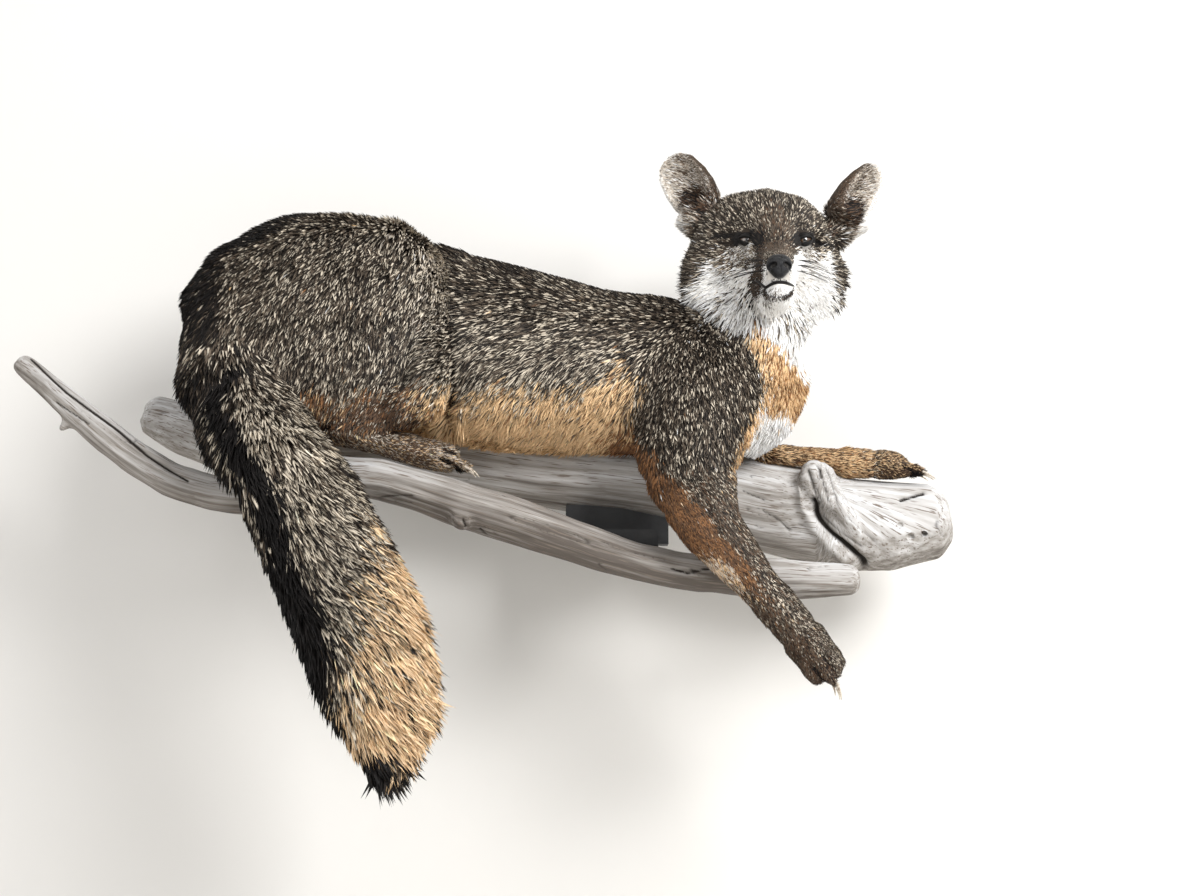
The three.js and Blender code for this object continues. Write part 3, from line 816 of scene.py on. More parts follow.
# %% Skin surface
EARS = ["ear_right", "ear_left"]
FEET = ["forepaw_right", "forepaw_left", "hindfoot_right", "hindfoot_left"]
EAR_ROOT_RADIUS = 9.0
thin_columns = [NAMES.index(node) for node in EARS + FEET]
thin_share = Field(shares[..., thin_columns].sum(-1), low, COARSE_STEP).on_lines(lines)
BROAD = ["trunk", "hindleg_right_thigh", "hindleg_left_thigh", "foreleg_right_upper", "neck", "tail_root"]
broad_columns = [NAMES.index(node) for node in BROAD]
broad_share = Field(shares[..., broad_columns].sum(-1), low, COARSE_STEP).on_lines(lines)
softened = soften(skin_distance, 3)
softened += (soften(softened, 14) - softened - 1.2) * np.clip(broad_share, 0, 1)
kept_sharp = np.clip(thin_share * 1.5, 0, 1)
skin_distance = softened + (skin_distance - softened) * kept_sharp + coat_depth
for node in EARS:
    ear_bottom = middle(node) * [1, 1, 0] + [0, 0, corners(node)[0][2] + 6]
    into_head = ear_bottom * 0.6 + middle("head") * 0.4
    skin_distance = join_softly(skin_distance, rod(lines, ear_bottom, into_head, EAR_ROOT_RADIUS), 5.0)

for side, sign in (("right", -1), ("left", 1)):
    eye = eye_spots[side]
    brow = [face_point(sign * 8, -152, 9.5), face_point(sign * 20, -151, 12), face_point(sign * 33, -140, 8)]
    skin_distance = join_softly(skin_distance, string_of_rods(lines, brow, [4, 5, 4]), 5)
    below = [face_point(sign * u, y, v) for u, y, v in ((11, -151, -10), (22, -149, -10.5), (32, -140, -7))]
    skin_distance = join_softly(skin_distance, string_of_rods(lines, below, [4, 4.5, 4]), 5)
    skin_distance = join_softly(skin_distance, rod(lines, eye, eye + [0, 8, 0], EYE_RADIUS + 1.0), 2.5)
    slit = [eye + [-sign * 5.2, -8.0, -1.6], eye + [0, -8.6, 0.0], eye + [sign * 5.2, -7.6, 1.4]]
    skin_distance = np.maximum(skin_distance, -string_of_rods(lines, slit, [2.4, 3.7, 2.6]))
    cheekbone = rod(lines, face_point(sign * 30, -134, -14), face_point(sign * 42, -118, -16), 7, 9)
    skin_distance = join_softly(skin_distance, cheekbone, 8)
chin = rod(lines, [NOSE[0], -190, 119.5], [NOSE[0], -168, 124], 6.8, 12)
skin_distance = join_softly(skin_distance, chin, 4)

thigh_low, thigh_high = corners("hindleg_right_thigh")
KNEE = np.array([thigh_high[0], thigh_low[2]])
HAUNCH_EDGE = KNEE + [(-39, 165), (-19, 151), (-13, 133), (-7, 102), (0, 62), (1, 38), (-5, 18), (-25, 3)]
HAUNCH_MIDDLE = KNEE + [-86, 84]
RIM_INSET = 19.0
RIM_RADIUS = 13.0
rim_way = unit(HAUNCH_MIDDLE - HAUNCH_EDGE)
rim_spots = [[x, -134.0, z] for x, z in HAUNCH_EDGE + rim_way * RIM_INSET]
haunch_rods = string_of_rods(lines, rim_spots, [RIM_RADIUS] * len(rim_spots))
skin_distance = join_softly(skin_distance, haunch_rods, 7)
skin_distance = press(skin_distance, lines, HAUNCH_EDGE - rim_way * 4, 6.0, 10.0, -100)

tail_low, tail_high = corners("tail_root")
tail_join = [[tail_low[0] + 34, -104, tail_high[2] + 12], [tail_low[0] + 36, -122, tail_high[2] - 34]]
skin_distance = join_softly(skin_distance, rod(lines, *tail_join, 34, 30), 16)

EAR_HOLLOWS = {
    "ear_right": ([(0.62, -5, 0.24), (0.48, -4, 0.48), (0.24, -3, 0.82)], [9, 15, 9]),
    "ear_left": ([(0.34, -5, 0.24), (0.52, -4, 0.48), (0.78, -3, 0.82)], [8, 12, 8]),
}
for node, (places, radii) in EAR_HOLLOWS.items():
    ear_low, ear_high = corners(node)
    size = ear_high - ear_low
    path = [[ear_low[0] + size[0] * a, ear_low[1] + b, ear_low[2] + size[2] * c] for a, b, c in places]
    skin_distance = np.maximum(skin_distance, -string_of_rods(lines, path, radii))

# Each wrist is filled so that its leg runs into its paw, and the outline is pressed in at the top of the
# haunch, at the rump and at the end of the tail.
paw_low, paw_high = corners("forepaw_right")
near_wrist_line = [paw_low[0] - 9, -148, paw_high[2] + 14], [paw_low[0] + 15, -151, paw_high[2] - 16]
skin_distance = join_softly(skin_distance, rod(lines, *near_wrist_line, 11.5, 13.0), 8)
paw_low, paw_high = corners("forepaw_left")
far_wrist_line = [paw_low[0] - 16, -54, paw_high[2] - 9], [paw_low[0] + 20, -58, paw_high[2] - 11]
skin_distance = join_softly(skin_distance, rod(lines, *far_wrist_line, 9.5, 9.0), 6)
end_low, end_high = corners("tail_end")
tail_trim = [(end_high[0] - inward, end_low[2] + up) for inward, up in ((45, -5), (19, 17), (1, 43))]
BODY_PRESS_BACK, TAIL_PRESS_BACK = -40, -100
OUTLINE_PRESSES = [  # path in X and Z, width, depth, and how far back in Y the press reaches
    (KNEE + [(-61, 181), (-37, 171), (-21, 155)], 11.0, 7.0, BODY_PRESS_BACK),
    (KNEE + [(-209, 133), (-195, 151), (-177, 165)], 14.0, 7.0, BODY_PRESS_BACK),
    (KNEE + [(-226, 118), (-224, 98)], 13.0, 12.0, BODY_PRESS_BACK),
    (tail_trim, 15.0, 14.0, TAIL_PRESS_BACK),
]
for path, width, depth, behind in OUTLINE_PRESSES:
    skin_distance = press(skin_distance, lines, path, width, depth, behind)

TOE_CREASES = {
    "forepaw_right": [[(-20, 26), (-12, 15), (-5, 2)], [(-26, 18), (-19, 8), (-13, 0)]],
    "forepaw_left": [[(-20, 15), (-9, 11), (0, 7)], [(-22, 8), (-12, 5), (-4, 2)]],
    "hindfoot_right": [[(-24, 18), (-12, 13), (-2, 8)], [(-26, 10), (-16, 6), (-7, 2)]],
}
for foot, creases in TOE_CREASES.items():
    foot_low, foot_high = corners(foot)
    for crease in creases:
        path = [(foot_high[0] + across, foot_low[2] + up) for across, up in crease]
        skin_distance = press(skin_distance, lines, path, 1.7, 2.6, foot_high[1] - 6)

skin_points, skin_faces = surface_of(skin_distance, lines)
skin = put_mesh("skin", skin_points, skin_faces)
print("skin:", len(skin_points), "points,", 2 * len(skin_faces), "triangles")

# %% [markdown]
# ## Eyes and lids
# A mount has glass eyes: a ball with a clear bulge over a painted iris. The lids are thin dark skin
# that wraps the ball and leaves an almond opening, lower at the nose. Each lid ring is one closed
# surface: round the opening one way, and over the rim and back inside the other way.

# %% Eyes
GAZE_DOWN = 0.12
GAZE_OUT = 0.10
LID_TILT = math.radians(15)
OPENING = (0.64, 0.19, 0.17)
LID_REACH = 0.5


def eye_axes(sign):
    """Directions across (away from the nose), up and forward for one eye."""
    forward = unit(np.array([[sign * GAZE_OUT, -1.0, -GAZE_DOWN]]))[0]
    across = unit(np.cross([forward], [[0.0, 0.0, 1.0]]))[0] * -sign
    across *= np.sign(across[0]) * sign
    up = np.cross(forward, across) * -sign
    up *= np.sign(up[2])
    return across, up, forward


def ring_faces(rows, columns, close_rows=False):
    """Square faces of a grid of rows, closed round the columns and, if asked, round the rows."""
    row = np.arange(rows if close_rows else rows - 1)[:, None]
    column = np.arange(columns)[None, :]
    after_row, after_column = (row + 1) % rows, (column + 1) % columns
    corner = [row * columns + column, row * columns + after_column,
              after_row * columns + after_column, after_row * columns + column]
    return np.stack(np.broadcast_arrays(*corner), -1).reshape(-1, 4)


def facing_out(points, faces):
    """Turns all faces over if the closed shape they make has a negative volume."""
    first, second, third = (points[faces[:, k]] for k in range(3))
    middle_point = points.mean(0)
    volume = np.einsum("ij,ij->", first - middle_point, np.cross(second - middle_point, third - middle_point))
    return faces[:, ::-1] if volume < 0 else faces


def glass_eye(side, sign):
    """A ball whose front bulges: radius R + bulge * exp(-(angle from the gaze / 0.55)^2)."""
    across, up, forward = eye_axes(sign)
    rows, columns = 26, 36
    angle = np.linspace(0.02, math.pi - 0.02, rows)[:, None]
    turn = np.linspace(0, 2 * math.pi, columns, endpoint=False)[None, :]
    local = np.stack(np.broadcast_arrays(
        np.sin(angle) * np.cos(turn), np.sin(angle) * np.sin(turn), np.cos(angle)), -1).reshape(-1, 3)
    radius = EYE_RADIUS + 0.7 * np.exp(-(np.arccos(local[:, 2]) / 0.55) ** 2)
    points = eye_spots[side] + radius[:, None] * (local @ np.stack([across, up, forward]))
    poles = np.stack([points[:columns].mean(0), points[-columns:].mean(0)])
    points = np.concatenate([points, poles])
    local = np.concatenate([local, [[0, 0, 1], [0, 0, -1]]])
    body = ring_faces(rows, columns)
    ends = [(len(points) - 2, c, (c + 1) % columns, (c + 1) % columns) for c in range(columns)]
    base = (rows - 1) * columns
    ends += [(len(points) - 1, base + (c + 1) % columns, base + c, base + c) for c in range(columns)]
    halves = np.concatenate([body[:, [0, 1, 2]], body[:, [0, 2, 3]], np.array(ends)[:, :3]])
    piece = put_mesh(f"glass_eye_{side}", points, facing_out(points, halves))
    note(piece, "gaze", local, "FLOAT_VECTOR")
    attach(piece, "root")
    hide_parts(f"eye_{side}")
    return piece


def lids(side, sign):
    """A closed ring of skin over the ball, from the almond opening out under the fur."""
    across, up, forward = eye_axes(sign)
    columns = 72
    turn = np.linspace(0, 2 * math.pi, columns, endpoint=False)
    wide, high, low_half = OPENING
    a = wide * np.cos(turn)
    b = np.where(np.sin(turn) > 0, high, low_half) * np.sin(turn) * np.abs(np.sin(turn)) ** 0.45
    a, b = a * math.cos(LID_TILT) - b * math.sin(LID_TILT), a * math.sin(LID_TILT) + b * math.cos(LID_TILT)
    edge = np.arcsin(np.hypot(a, b))
    heavy = 0.25 * np.clip(np.sin(turn), 0, 1)
    round_gaze = np.arctan2(b, a)
    outward = np.concatenate([np.linspace(0, 0.3, 7) ** 1.3, np.linspace(0.34, 1, 6)])
    profile = [(s, 0.15 + 1.2 * step(s, -0.05, 0.25) - 0.8 * s * s) for s in outward]
    profile += [(s, -0.6) for s in outward[::-2]]
    rows = []
    for s, lift in profile:
        polar = edge + LID_REACH * s
        local = np.stack([np.sin(polar) * np.cos(round_gaze), np.sin(polar) * np.sin(round_gaze),
                          np.cos(polar)], 1)
        bulge = 0.7 * np.exp(-(polar / 0.55) ** 2)
        rows.append(eye_spots[side] + (EYE_RADIUS + bulge + lift * (1 + heavy))[:, None]
                    * (local @ np.stack([across, up, forward])))
    points = np.concatenate(rows)
    faces = ring_faces(len(rows), columns, close_rows=True)
    piece = put_mesh(f"eyelids_{side}", points, facing_out(points, faces))
    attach(piece, "root")
    return piece


eyes = [glass_eye(side, sign) for side, sign in (("right", -1), ("left", 1))]
lid_pieces = [lids(side, sign) for side, sign in (("right", -1), ("left", 1))]


# %% [markdown]
# ## Nose, lips and whiskers
# The nose is bare, wet, pebbled leather with comma-shaped nostrils and a groove down its middle. It
# is small, so it gets its own fine grid of distances. The lips are a thin dark strip that follows the
# mouth line on the skin. Whiskers are tapered wires that leave the muzzle in rows.

# %% Nose
NOSE_STEP = 0.6
nose_low, nose_high = corners("nose_pad")
nose_half = (nose_high - nose_low) / 2
nose_lines = [np.arange(nose_low[a] - 4, nose_high[a] + 4, NOSE_STEP) for a in range(3)]


def nose_shape():
    """A rounded wedge, wide above and narrow below, with nostrils and a groove cut into it."""
    x, y, z = np.meshgrid(*nose_lines, indexing="ij")
    up = np.clip((z - nose_low[2]) / (2 * nose_half[2]), 0, 1)
    half_width = nose_half[0] * (0.62 + 0.42 * step(up, 0.0, 0.55) - 0.1 * step(up, 0.75, 1.0))
    across = np.abs((x - NOSE[0]) / half_width)
    deep = np.abs((y - NOSE[1]) / (nose_half[1] * 1.02))
    tall = np.abs((z - NOSE[2]) / (nose_half[2] * 1.02))
    reach = (across ** 2.5 + deep ** 2.3 + tall ** 2.5) ** (1 / 2.4)
    values = (reach - 1) * nose_half[1]
    front = NOSE[1] - nose_half[1]
    for sign in (-1, 1):
        path = [[NOSE[0] + sign * out, front + back, NOSE[2] + up]
                for out, back, up in ((4.4, 0.5, 0.3), (6.4, 2.6, -0.6), (9.2, 6.5, -3.2))]
        values = np.maximum(values, -string_of_rods(nose_lines, path, [2.1, 2.0, 0.9]))
        opening = [NOSE[0] + sign * 4.6, front + 1, NOSE[2]]
        passage = [NOSE[0] + sign * 3.4, front + 8, NOSE[2] + 1]
        values = np.maximum(values, -rod(nose_lines, opening, passage, 1.7))
    groove_top = [NOSE[0], front - 0.3, NOSE[2] - 1]
    groove = rod(nose_lines, groove_top, [NOSE[0], front + 1.6, nose_low[2] - 1], 0.75)
    return soften(np.maximum(values, -groove), 1)


nose_points, nose_faces = surface_of(nose_shape(), nose_lines)
nose_piece = put_mesh("nose_leather_pad", nose_points, nose_faces)
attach(nose_piece, "root")
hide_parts("nose_pad")
print("nose:", len(nose_points), "points")

# %% Tubes along paths on the skin
from mathutils.bvhtree import BVHTree

skin_tree = BVHTree.FromPolygons(skin_points.tolist(), skin_faces.tolist())
LINE_OF_SIGHT = unit(np.array([[0.11, 1.0, 0.245]]))[0]
REACH_BEFORE = 60.0


def on_skin(path):
    """Where lines meet the skin, and which way it faces there.

    Each point is set level with the nose, moved REACH_BEFORE back along LINE_OF_SIGHT, and sent along it.
    """
    starts = np.asarray(path, float) * [1, 0, 1] + [0, NOSE[1], 0] - LINE_OF_SIGHT * REACH_BEFORE
    found = [skin_tree.ray_cast(start, LINE_OF_SIGHT.tolist()) for start in starts.tolist()]
    return np.array([list(hit[0]) for hit in found]), np.array([list(hit[1]) for hit in found])


def smooth_path(path, count):
    """A path with more points: each coordinate blended by smooth cubic pieces through the given ones."""
    path = np.asarray(path, float)
    slope = np.gradient(path, axis=0)
    spot = np.linspace(0, len(path) - 1, count)
    base = np.minimum(spot.astype(int), len(path) - 2)
    t = (spot - base)[:, None]
    start, end = path[base], path[base + 1]
    return ((2 * t ** 3 - 3 * t ** 2 + 1) * start + (t ** 3 - 2 * t ** 2 + t) * slope[base]
            + (3 * t ** 2 - 2 * t ** 3) * end + (t ** 3 - t ** 2) * slope[base + 1])


def tube(path, radii, sides):
    """Points and faces of a closed round tube: a ring square to the path at each point, and two tips."""
    path = np.asarray(path, float)
    way = unit(np.gradient(path, axis=0))
    side = unit(np.cross(way, [0.05, 0.1, 1.0]))
    up = np.cross(side, way)
    turn = np.linspace(0, 2 * math.pi, sides, endpoint=False)
    rings = (path[:, None] + np.asarray(radii)[:, None, None]
             * (side[:, None] * np.cos(turn)[None, :, None] + up[:, None] * np.sin(turn)[None, :, None]))
    points = np.concatenate([rings.reshape(-1, 3), path[[0]], path[[-1]]])
    body = ring_faces(len(path), sides)
    column = np.arange(sides)
    after = (column + 1) % sides
    last = (len(path) - 1) * sides
    first_cap = np.stack([np.full(sides, len(points) - 2), after, column], 1)
    last_cap = np.stack([np.full(sides, len(points) - 1), last + column, last + after], 1)
    faces = np.concatenate([body[:, [0, 1, 2]], body[:, [0, 2, 3]], first_cap, last_cap])
    return points, facing_out(points, faces)


def put_tubes(name, tubes):
    """One piece from many tubes."""
    counts = np.cumsum([0] + [len(points) for points, _ in tubes])
    faces = np.concatenate([faces + start for (_, faces), start in zip(tubes, counts)])
    piece = put_mesh(name, np.concatenate([points for points, _ in tubes]), faces)
    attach(piece, "root")
    return piece


# %% Lips
MOUTH = [(-43, -44), (-37.3, -42.4), (-31.6, -42), (-24.9, -42.8), (-19.2, -44.8), (-15.5, -47.8),
         (-12.8, -49.4), (-10, -47.9), (-7.2, -46.5), (-4.3, -45.6), (-1.5, -45.4), (0.9, -45.6),
         (3.2, -46.3), (6, -47.5), (8.8, -48.2), (11.5, -46.2), (13.2, -43.4), (15.9, -41.2), (18.8, -39.6),
         (22.1, -38.8), (25.5, -40.8)]
LOWER_LIP = [(-13.4, -50.4), (-12.6, -53.2), (-9.9, -55.6), (-6.2, -56.6), (-2.4, -56.6), (1.4, -55.4),
             (5.2, -53), (7.9, -50.4), (9.4, -48.2)]
MOUTH_POINTS, LOWER_LIP_POINTS, PHILTRUM_POINTS = 80, 30, 10
LIP_CORNER, LIP_MIDDLE, LOWER_LIP_END, LOWER_LIP_MIDDLE, PHILTRUM_RADIUS = 0.24, 1.05, 0.3, 0.65, 0.5
mouth, mouth_out = on_skin(smooth_path([face_point(u, 0, v) for u, v in MOUTH], MOUTH_POINTS))
lower_lip, lower_out = on_skin(smooth_path([face_point(u, 0, v) for u, v in LOWER_LIP], LOWER_LIP_POINTS))
middle_of_mouth = np.exp(-((mouth[:, 0] - NOSE[0]) / 15) ** 4)
philtrum, philtrum_out = on_skin(smooth_path(
    [[NOSE[0] + 0.4, 0, nose_low[2] + 1], [NOSE[0] + 1.0, 0, BETWEEN_EYES[2] - 45.4]], PHILTRUM_POINTS))
lower_lip_radii = LOWER_LIP_END + LOWER_LIP_MIDDLE * np.sin(np.linspace(0, math.pi, LOWER_LIP_POINTS))
lip_tubes = [tube(mouth + mouth_out * 0.2, LIP_CORNER + LIP_MIDDLE * middle_of_mouth, 10),
             tube(lower_lip + lower_out * 0.1, lower_lip_radii, 10),
             tube(philtrum + philtrum_out * 0.1, np.full(PHILTRUM_POINTS, PHILTRUM_RADIUS), 8)]
lips = put_tubes("lips", lip_tubes)
print("lips:", len(lips.data.vertices), "points")

# %% Whiskers
WHISKER_ROWS = 3
WHISKERS_IN_ROW = 5
whisker_dice = np.random.default_rng(5)


def whisker(sign, row, place):
    """A tapered wire that leaves the muzzle sideways, sweeps back and sinks towards its tip."""
    start = face_point(sign * (11.5 + place * 1.0) - 1.5, 0, -28 - row * 4.2)
    root, out = on_skin([start])
    length = whisker_dice.uniform(34, 50) * (0.75 + 0.1 * place)
    heading = unit(np.array([[sign * 1.0, 0.32 + 0.1 * place, whisker_dice.normal(0.02, 0.1)]]))[0]
    t = np.linspace(0, 1, 9)[:, None]
    sag = np.array([0, 0, -0.22]) * length * t ** 2
    path = root + heading * length * t + sag + out * 1.5 * np.sin(t * math.pi)
    return tube(path, 0.27 * (1 - 0.85 * t[:, 0]), 4)


whiskers = put_tubes("whiskers", [
    whisker(sign, row, place) for sign in (-1, 1) for row in range(WHISKER_ROWS)
    for place in range(WHISKERS_IN_ROW)])
print("whiskers:", len(whiskers.data.polygons), "faces")


# %% [markdown]
# ## Finishes of the bare parts
# The eye's iris is painted by the angle from the gaze, so it reads the gaze attribute. Leather gets
# pebbles and creases from a cell pattern, dark lips a soft shine, and whiskers plain black horn.

# %% Eye material
IRIS_ANGLE = 0.86


def eye_material():
    """Glass over an iris: an upright oval pupil, amber fibres, a dark ring, then dark brown."""
    material, shader, wire = start_material("glass_eye", roughness=0.06, specular=0.6)
    gaze = wire.node("ShaderNodeAttribute", {"attribute_name": "gaze"}, output="Vector")
    parts = wire.node("ShaderNodeSeparateXYZ", None, {"Vector": gaze}, "X")
    x = parts
    y = Wire(wire.tree, parts.socket.node.outputs["Y"])
    forward = Wire(wire.tree, parts.socket.node.outputs["Z"])
    polar = forward.math("ARCCOSINE", forward)
    turn = y.math("ARCTAN2", y, x)
    rays = wire.node("ShaderNodeTexNoise", {"noise_dimensions": "2D"}, {
        "Vector": wire.node("ShaderNodeCombineXYZ", None, {"X": turn * 9, "Y": polar * 1.6}), "Scale": 1.6})
    fibres = wire.node("ShaderNodeValToRGB", {"stops": [
        (0.3, ink(34, 23, 15)), (0.5, ink(62, 42, 27)), (0.7, ink(92, 66, 42))]}, {"Fac": rays})
    ringed = polar.rise(IRIS_ANGLE * 0.72, IRIS_ANGLE).mix(fibres, ink(26, 16, 10))
    pupil = (x * x * 38 + y * y * 11).rise(1.25, 0.85)
    plug(pupil.mix(ringed, ink(6, 5, 5)), shader, "Base Color")
    shader.inputs["Coat Weight"].default_value = 1.0
    shader.inputs["Coat Roughness"].default_value = 0.03
    return material


# %% Leather, lip and whisker materials
def leather_material():
    """Damp black nose leather: cells for pebbles, finer noise between them."""
    material, shader, wire = start_material("nose_leather", roughness=0.34, specular=0.28)
    place = wire.node("ShaderNodeTexCoord", output="Object")
    pebbles = wire.node(
        "ShaderNodeTexVoronoi", {"feature": "DISTANCE_TO_EDGE"}, {"Vector": place, "Scale": 950.0})
    cloud = wire.noise(place, 260.0, 3.0)
    plug(cloud.rise(0.3, 0.7).mix(ink(9, 9, 11), ink(24, 24, 28)), shader, "Base Color")
    plug(cloud.rise(0.2, 0.8) * 0.18 + 0.26, shader, "Roughness")
    cells = pebbles.rise(0.0, 0.25)
    bump = wire.bump(cells, 0.5, 0.0004)
    plug(bump, shader, "Normal")
    return material


def dark_skin_material(name, dark, light, roughness):
    """Bare dark skin or horn with a little unevenness in colour and height."""
    material, shader, wire = start_material(name, roughness=roughness, specular=0.2)
    place = wire.node("ShaderNodeTexCoord", output="Object")
    cloud = wire.noise(place, 400.0, 3.0)
    plug(cloud.rise(0.3, 0.75).mix(dark, light), shader, "Base Color")
    bump = wire.bump(cloud, 0.4, 0.0004)
    plug(bump, shader, "Normal")
    return material


eye_paint = eye_material()
lid_paint = dark_skin_material("lid_skin", ink(8, 7, 7), ink(20, 16, 15), 0.5)
for piece in eyes:
    piece.data.materials.append(eye_paint)
for piece in lid_pieces + [lips]:
    piece.data.materials.append(lid_paint)
nose_piece.data.materials.append(leather_material())
whiskers.data.materials.append(dark_skin_material("whisker_hair", ink(20, 18, 18), ink(40, 36, 34), 0.4))

# %% [markdown]
# ## The skin laid flat
# Smart UV Project opens the skin into flat patches. Each tuft later takes the place of its root on
# this map, so that colours can be stored for the skin and the coat alike.

# %% Unwrap
bpy.context.view_layer.objects.active = skin
skin.select_set(True)
bpy.ops.object.mode_set(mode="EDIT")
bpy.ops.mesh.select_all(action="SELECT")
bpy.ops.uv.smart_project(angle_limit=math.radians(60), island_margin=0.002)
bpy.ops.object.mode_set(mode="OBJECT")
skin.data.uv_layers[0].name = "OFBake"
skin_uv = np.empty(len(skin_faces) * 8, np.float32)
skin.data.uv_layers[0].data.foreach_get("uv", skin_uv)
skin_uv = skin_uv.reshape(-1, 4, 2)
skin_normals = normals_of(skin)
print("unwrapped", len(skin_uv), "faces")

# %% [markdown]
# ## Where tufts grow
# Roots are spread over each face of the skin in proportion to its area and to how dense the coat is
# there, so that they are even but not in rows. Eyes, lids, nose and lips stay bare.

# %% Roots
chance = np.random.default_rng(11)
FAR_SIDE_DENSITY = 0.5
table = {key: np.array([FLESH[node][k] for node in NAMES], float) for k, key in enumerate(
    ["depth", "length", "width", "density"])}
lies = unit(np.array([FLESH[node][4] for node in NAMES], float))


def share(shares_at, *nodes):
    """How much each place belongs to any of these nodes."""
    return shares_at[:, [NAMES.index(node) for node in nodes]].sum(1)


def eye_reach(points):
    """Distance to the nearer eyeball's surface."""
    return np.minimum(*(np.linalg.norm(points - eye_spots[side], axis=1) for side in eye_spots)) - EYE_RADIUS


def near_path(points, path):
    """Distance from each point to a short path given as an array of places."""
    reach = np.full(len(points), np.inf)
    for start, end in zip(path[:-1], path[1:]):
        way = end - start
        part = np.clip((points - start) @ way / (way @ way), 0, 1)
        reach = np.minimum(reach, np.linalg.norm(points - start - part[:, None] * way, axis=1))
    return reach


def bare_here(points):
    """True on the lids, under the nose pad and under the lips."""
    lids_here = (eye_reach(points) < 1.8) & (points[:, 1] < eye_spots["right"][1] - 5.5)
    nose_here = (np.abs(points - NOSE - [0, 1, 0]) < nose_half * [0.8, 1.6, 0.8]).all(1)
    on_head = np.linalg.norm(points - middle("muzzle"), axis=1) < 90
    lips_here = np.zeros(len(points), bool)
    lips_here[on_head] = (near_path(points[on_head], mouth[::2]) < 0.8) | (
        near_path(points[on_head], lower_lip[::2]) < 0.7)
    return lids_here | nose_here | lips_here


def spread_roots():
    """Random places on the skin's faces: each face gets its area times the density, rounded by lot."""
    corner = skin_points[skin_faces]
    cross = np.cross(corner[:, 2] - corner[:, 0], corner[:, 3] - corner[:, 1])
    area = np.linalg.norm(cross, axis=1) / 200
    centre = corner.mean(1)
    density = share_field.at(centre) @ table["density"]
    far_side = np.clip(unit(cross)[:, 1] * 3 - 0.3, 0, 1)
    density *= 1 - far_side * (1 - FAR_SIDE_DENSITY)
    count = np.floor(area * density + chance.random(len(area))).astype(int)
    face = np.repeat(np.arange(len(area)), count)
    u, v = chance.random((2, len(face), 1))
    weights = np.concatenate([(1 - u) * (1 - v), u * (1 - v), u * v, (1 - u) * v], 1)
    mixed = [np.einsum("nk,nkc->nc", weights, field[face]) for field in
             (corner, skin_normals[skin_faces], skin_uv)]
    haired = ~bare_here(mixed[0])
    return [values[haired] for values in mixed]


roots, root_normals, root_uv = spread_roots()
root_normals = unit(root_normals)
root_shares = share_field.at(roots)
print("tufts:", len(roots))

# %% [markdown]
# ## Ears in their own terms
# An ear is an upright cup. Its places are told by how far up they are, how far across, and whether
# they lie inside the cup, so that the pale rim, the long hair within and the dark back can differ.

# %% Ear places
def ear_frame(node, sign):
    """Root, length, unit direction up the ear and unit direction across it, away from the crown."""
    low_corner, high_corner = corners(node)
    inner, outer = (high_corner[0], low_corner[0]) if sign < 0 else (low_corner[0], high_corner[0])
    depth = (low_corner[1] + high_corner[1]) / 2
    root = np.array([inner + (outer - inner) * 0.26, depth, low_corner[2] + 2])
    tip = np.array([inner + (outer - inner) * 0.86, depth, high_corner[2] - 1])
    up = unit(np.array([tip - root]))[0]
    across = unit(np.array([[up[2], 0, -up[0]]]))[0] * sign
    return root, np.linalg.norm(tip - root), up, across


EAR_FRAMES = {"ear_right": ear_frame("ear_right", -1), "ear_left": ear_frame("ear_left", 1)}
EAR_HALF = {"ear_right": 20.0, "ear_left": 13.5}


def ear_places(points, normals):
    """Up (0 to 1), across (-1 inner edge to 1 outer edge) and inside (0 or 1) for the nearer ear."""
    up_ear, across_ear = np.zeros(len(points)), np.zeros(len(points))
    directions = np.zeros((len(points), 2, 3))
    for node, sign in (("ear_right", -1), ("ear_left", 1)):
        root, length, up, across = EAR_FRAMES[node]
        here = (points[:, 0] - BETWEEN_EYES[0]) * sign > 0
        height = (points - root) @ up / length
        half = EAR_HALF[node] * np.interp(
            height, [0, 0.2, 0.45, 0.72, 0.9, 1.05], [0.62, 0.85, 1, 0.9, 0.62, 0.3])
        up_ear[here] = height[here]
        across_ear[here] = ((points - root) @ across / half)[here]
        directions[here] = np.stack([up, across])
    inside = step(-normals[:, 1], -0.2, 0.1)
    return up_ear, across_ear, inside, directions


# %% [markdown]
# ## The lie of the coat
# Hair runs back from the nose, along the back, down the flanks and out along each limb. On the tail
# it slants outwards from the dark stripe. The lie at a place is the mix of its parts' own lies, laid
# flat on the skin. Slow noise turns it a little, so that the coat falls into locks.

# %% Lie
trunk_low, trunk_high = corners("trunk")
tail_line = np.array([middle("tail_root"), middle("tail_middle"), middle("tail_end")])
TAIL_BOTTOM = corners("tail_end")[0][2]


def tail_middle_x(height):
    """The tail's middle line in the front view, at a height: straight between its three lengths."""
    low_end = [corners("tail_end")[0][0] * 0.5 + corners("tail_end")[1][0] * 0.5, TAIL_BOTTOM]
    places = np.array([low_end, tail_line[2][[0, 2]], tail_line[1][[0, 2]], tail_line[0][[0, 2]]])
    return np.interp(height, places[:, 1], places[:, 0])


def haunch_side(points):
    """1 on the haunch's side of its front edge, 0 on the flank's side."""
    return step(points[:, 0] - np.interp(points[:, 2], HAUNCH_EDGE[::-1, 1], HAUNCH_EDGE[::-1, 0]), 6, -2)


def haunch_rim(points):
    """How near a place is to the haunch's front edge, 1 on it, and the way out across that edge."""
    spots = points[:, [0, 2]]
    reach = near_path(spots, HAUNCH_EDGE)
    out = unit(spots - HAUNCH_MIDDLE)
    way_out = np.stack([out[:, 0], np.zeros(len(out)), out[:, 1]], 1)
    return np.exp(-(reach / 15) ** 2) * haunch_side(points), way_out


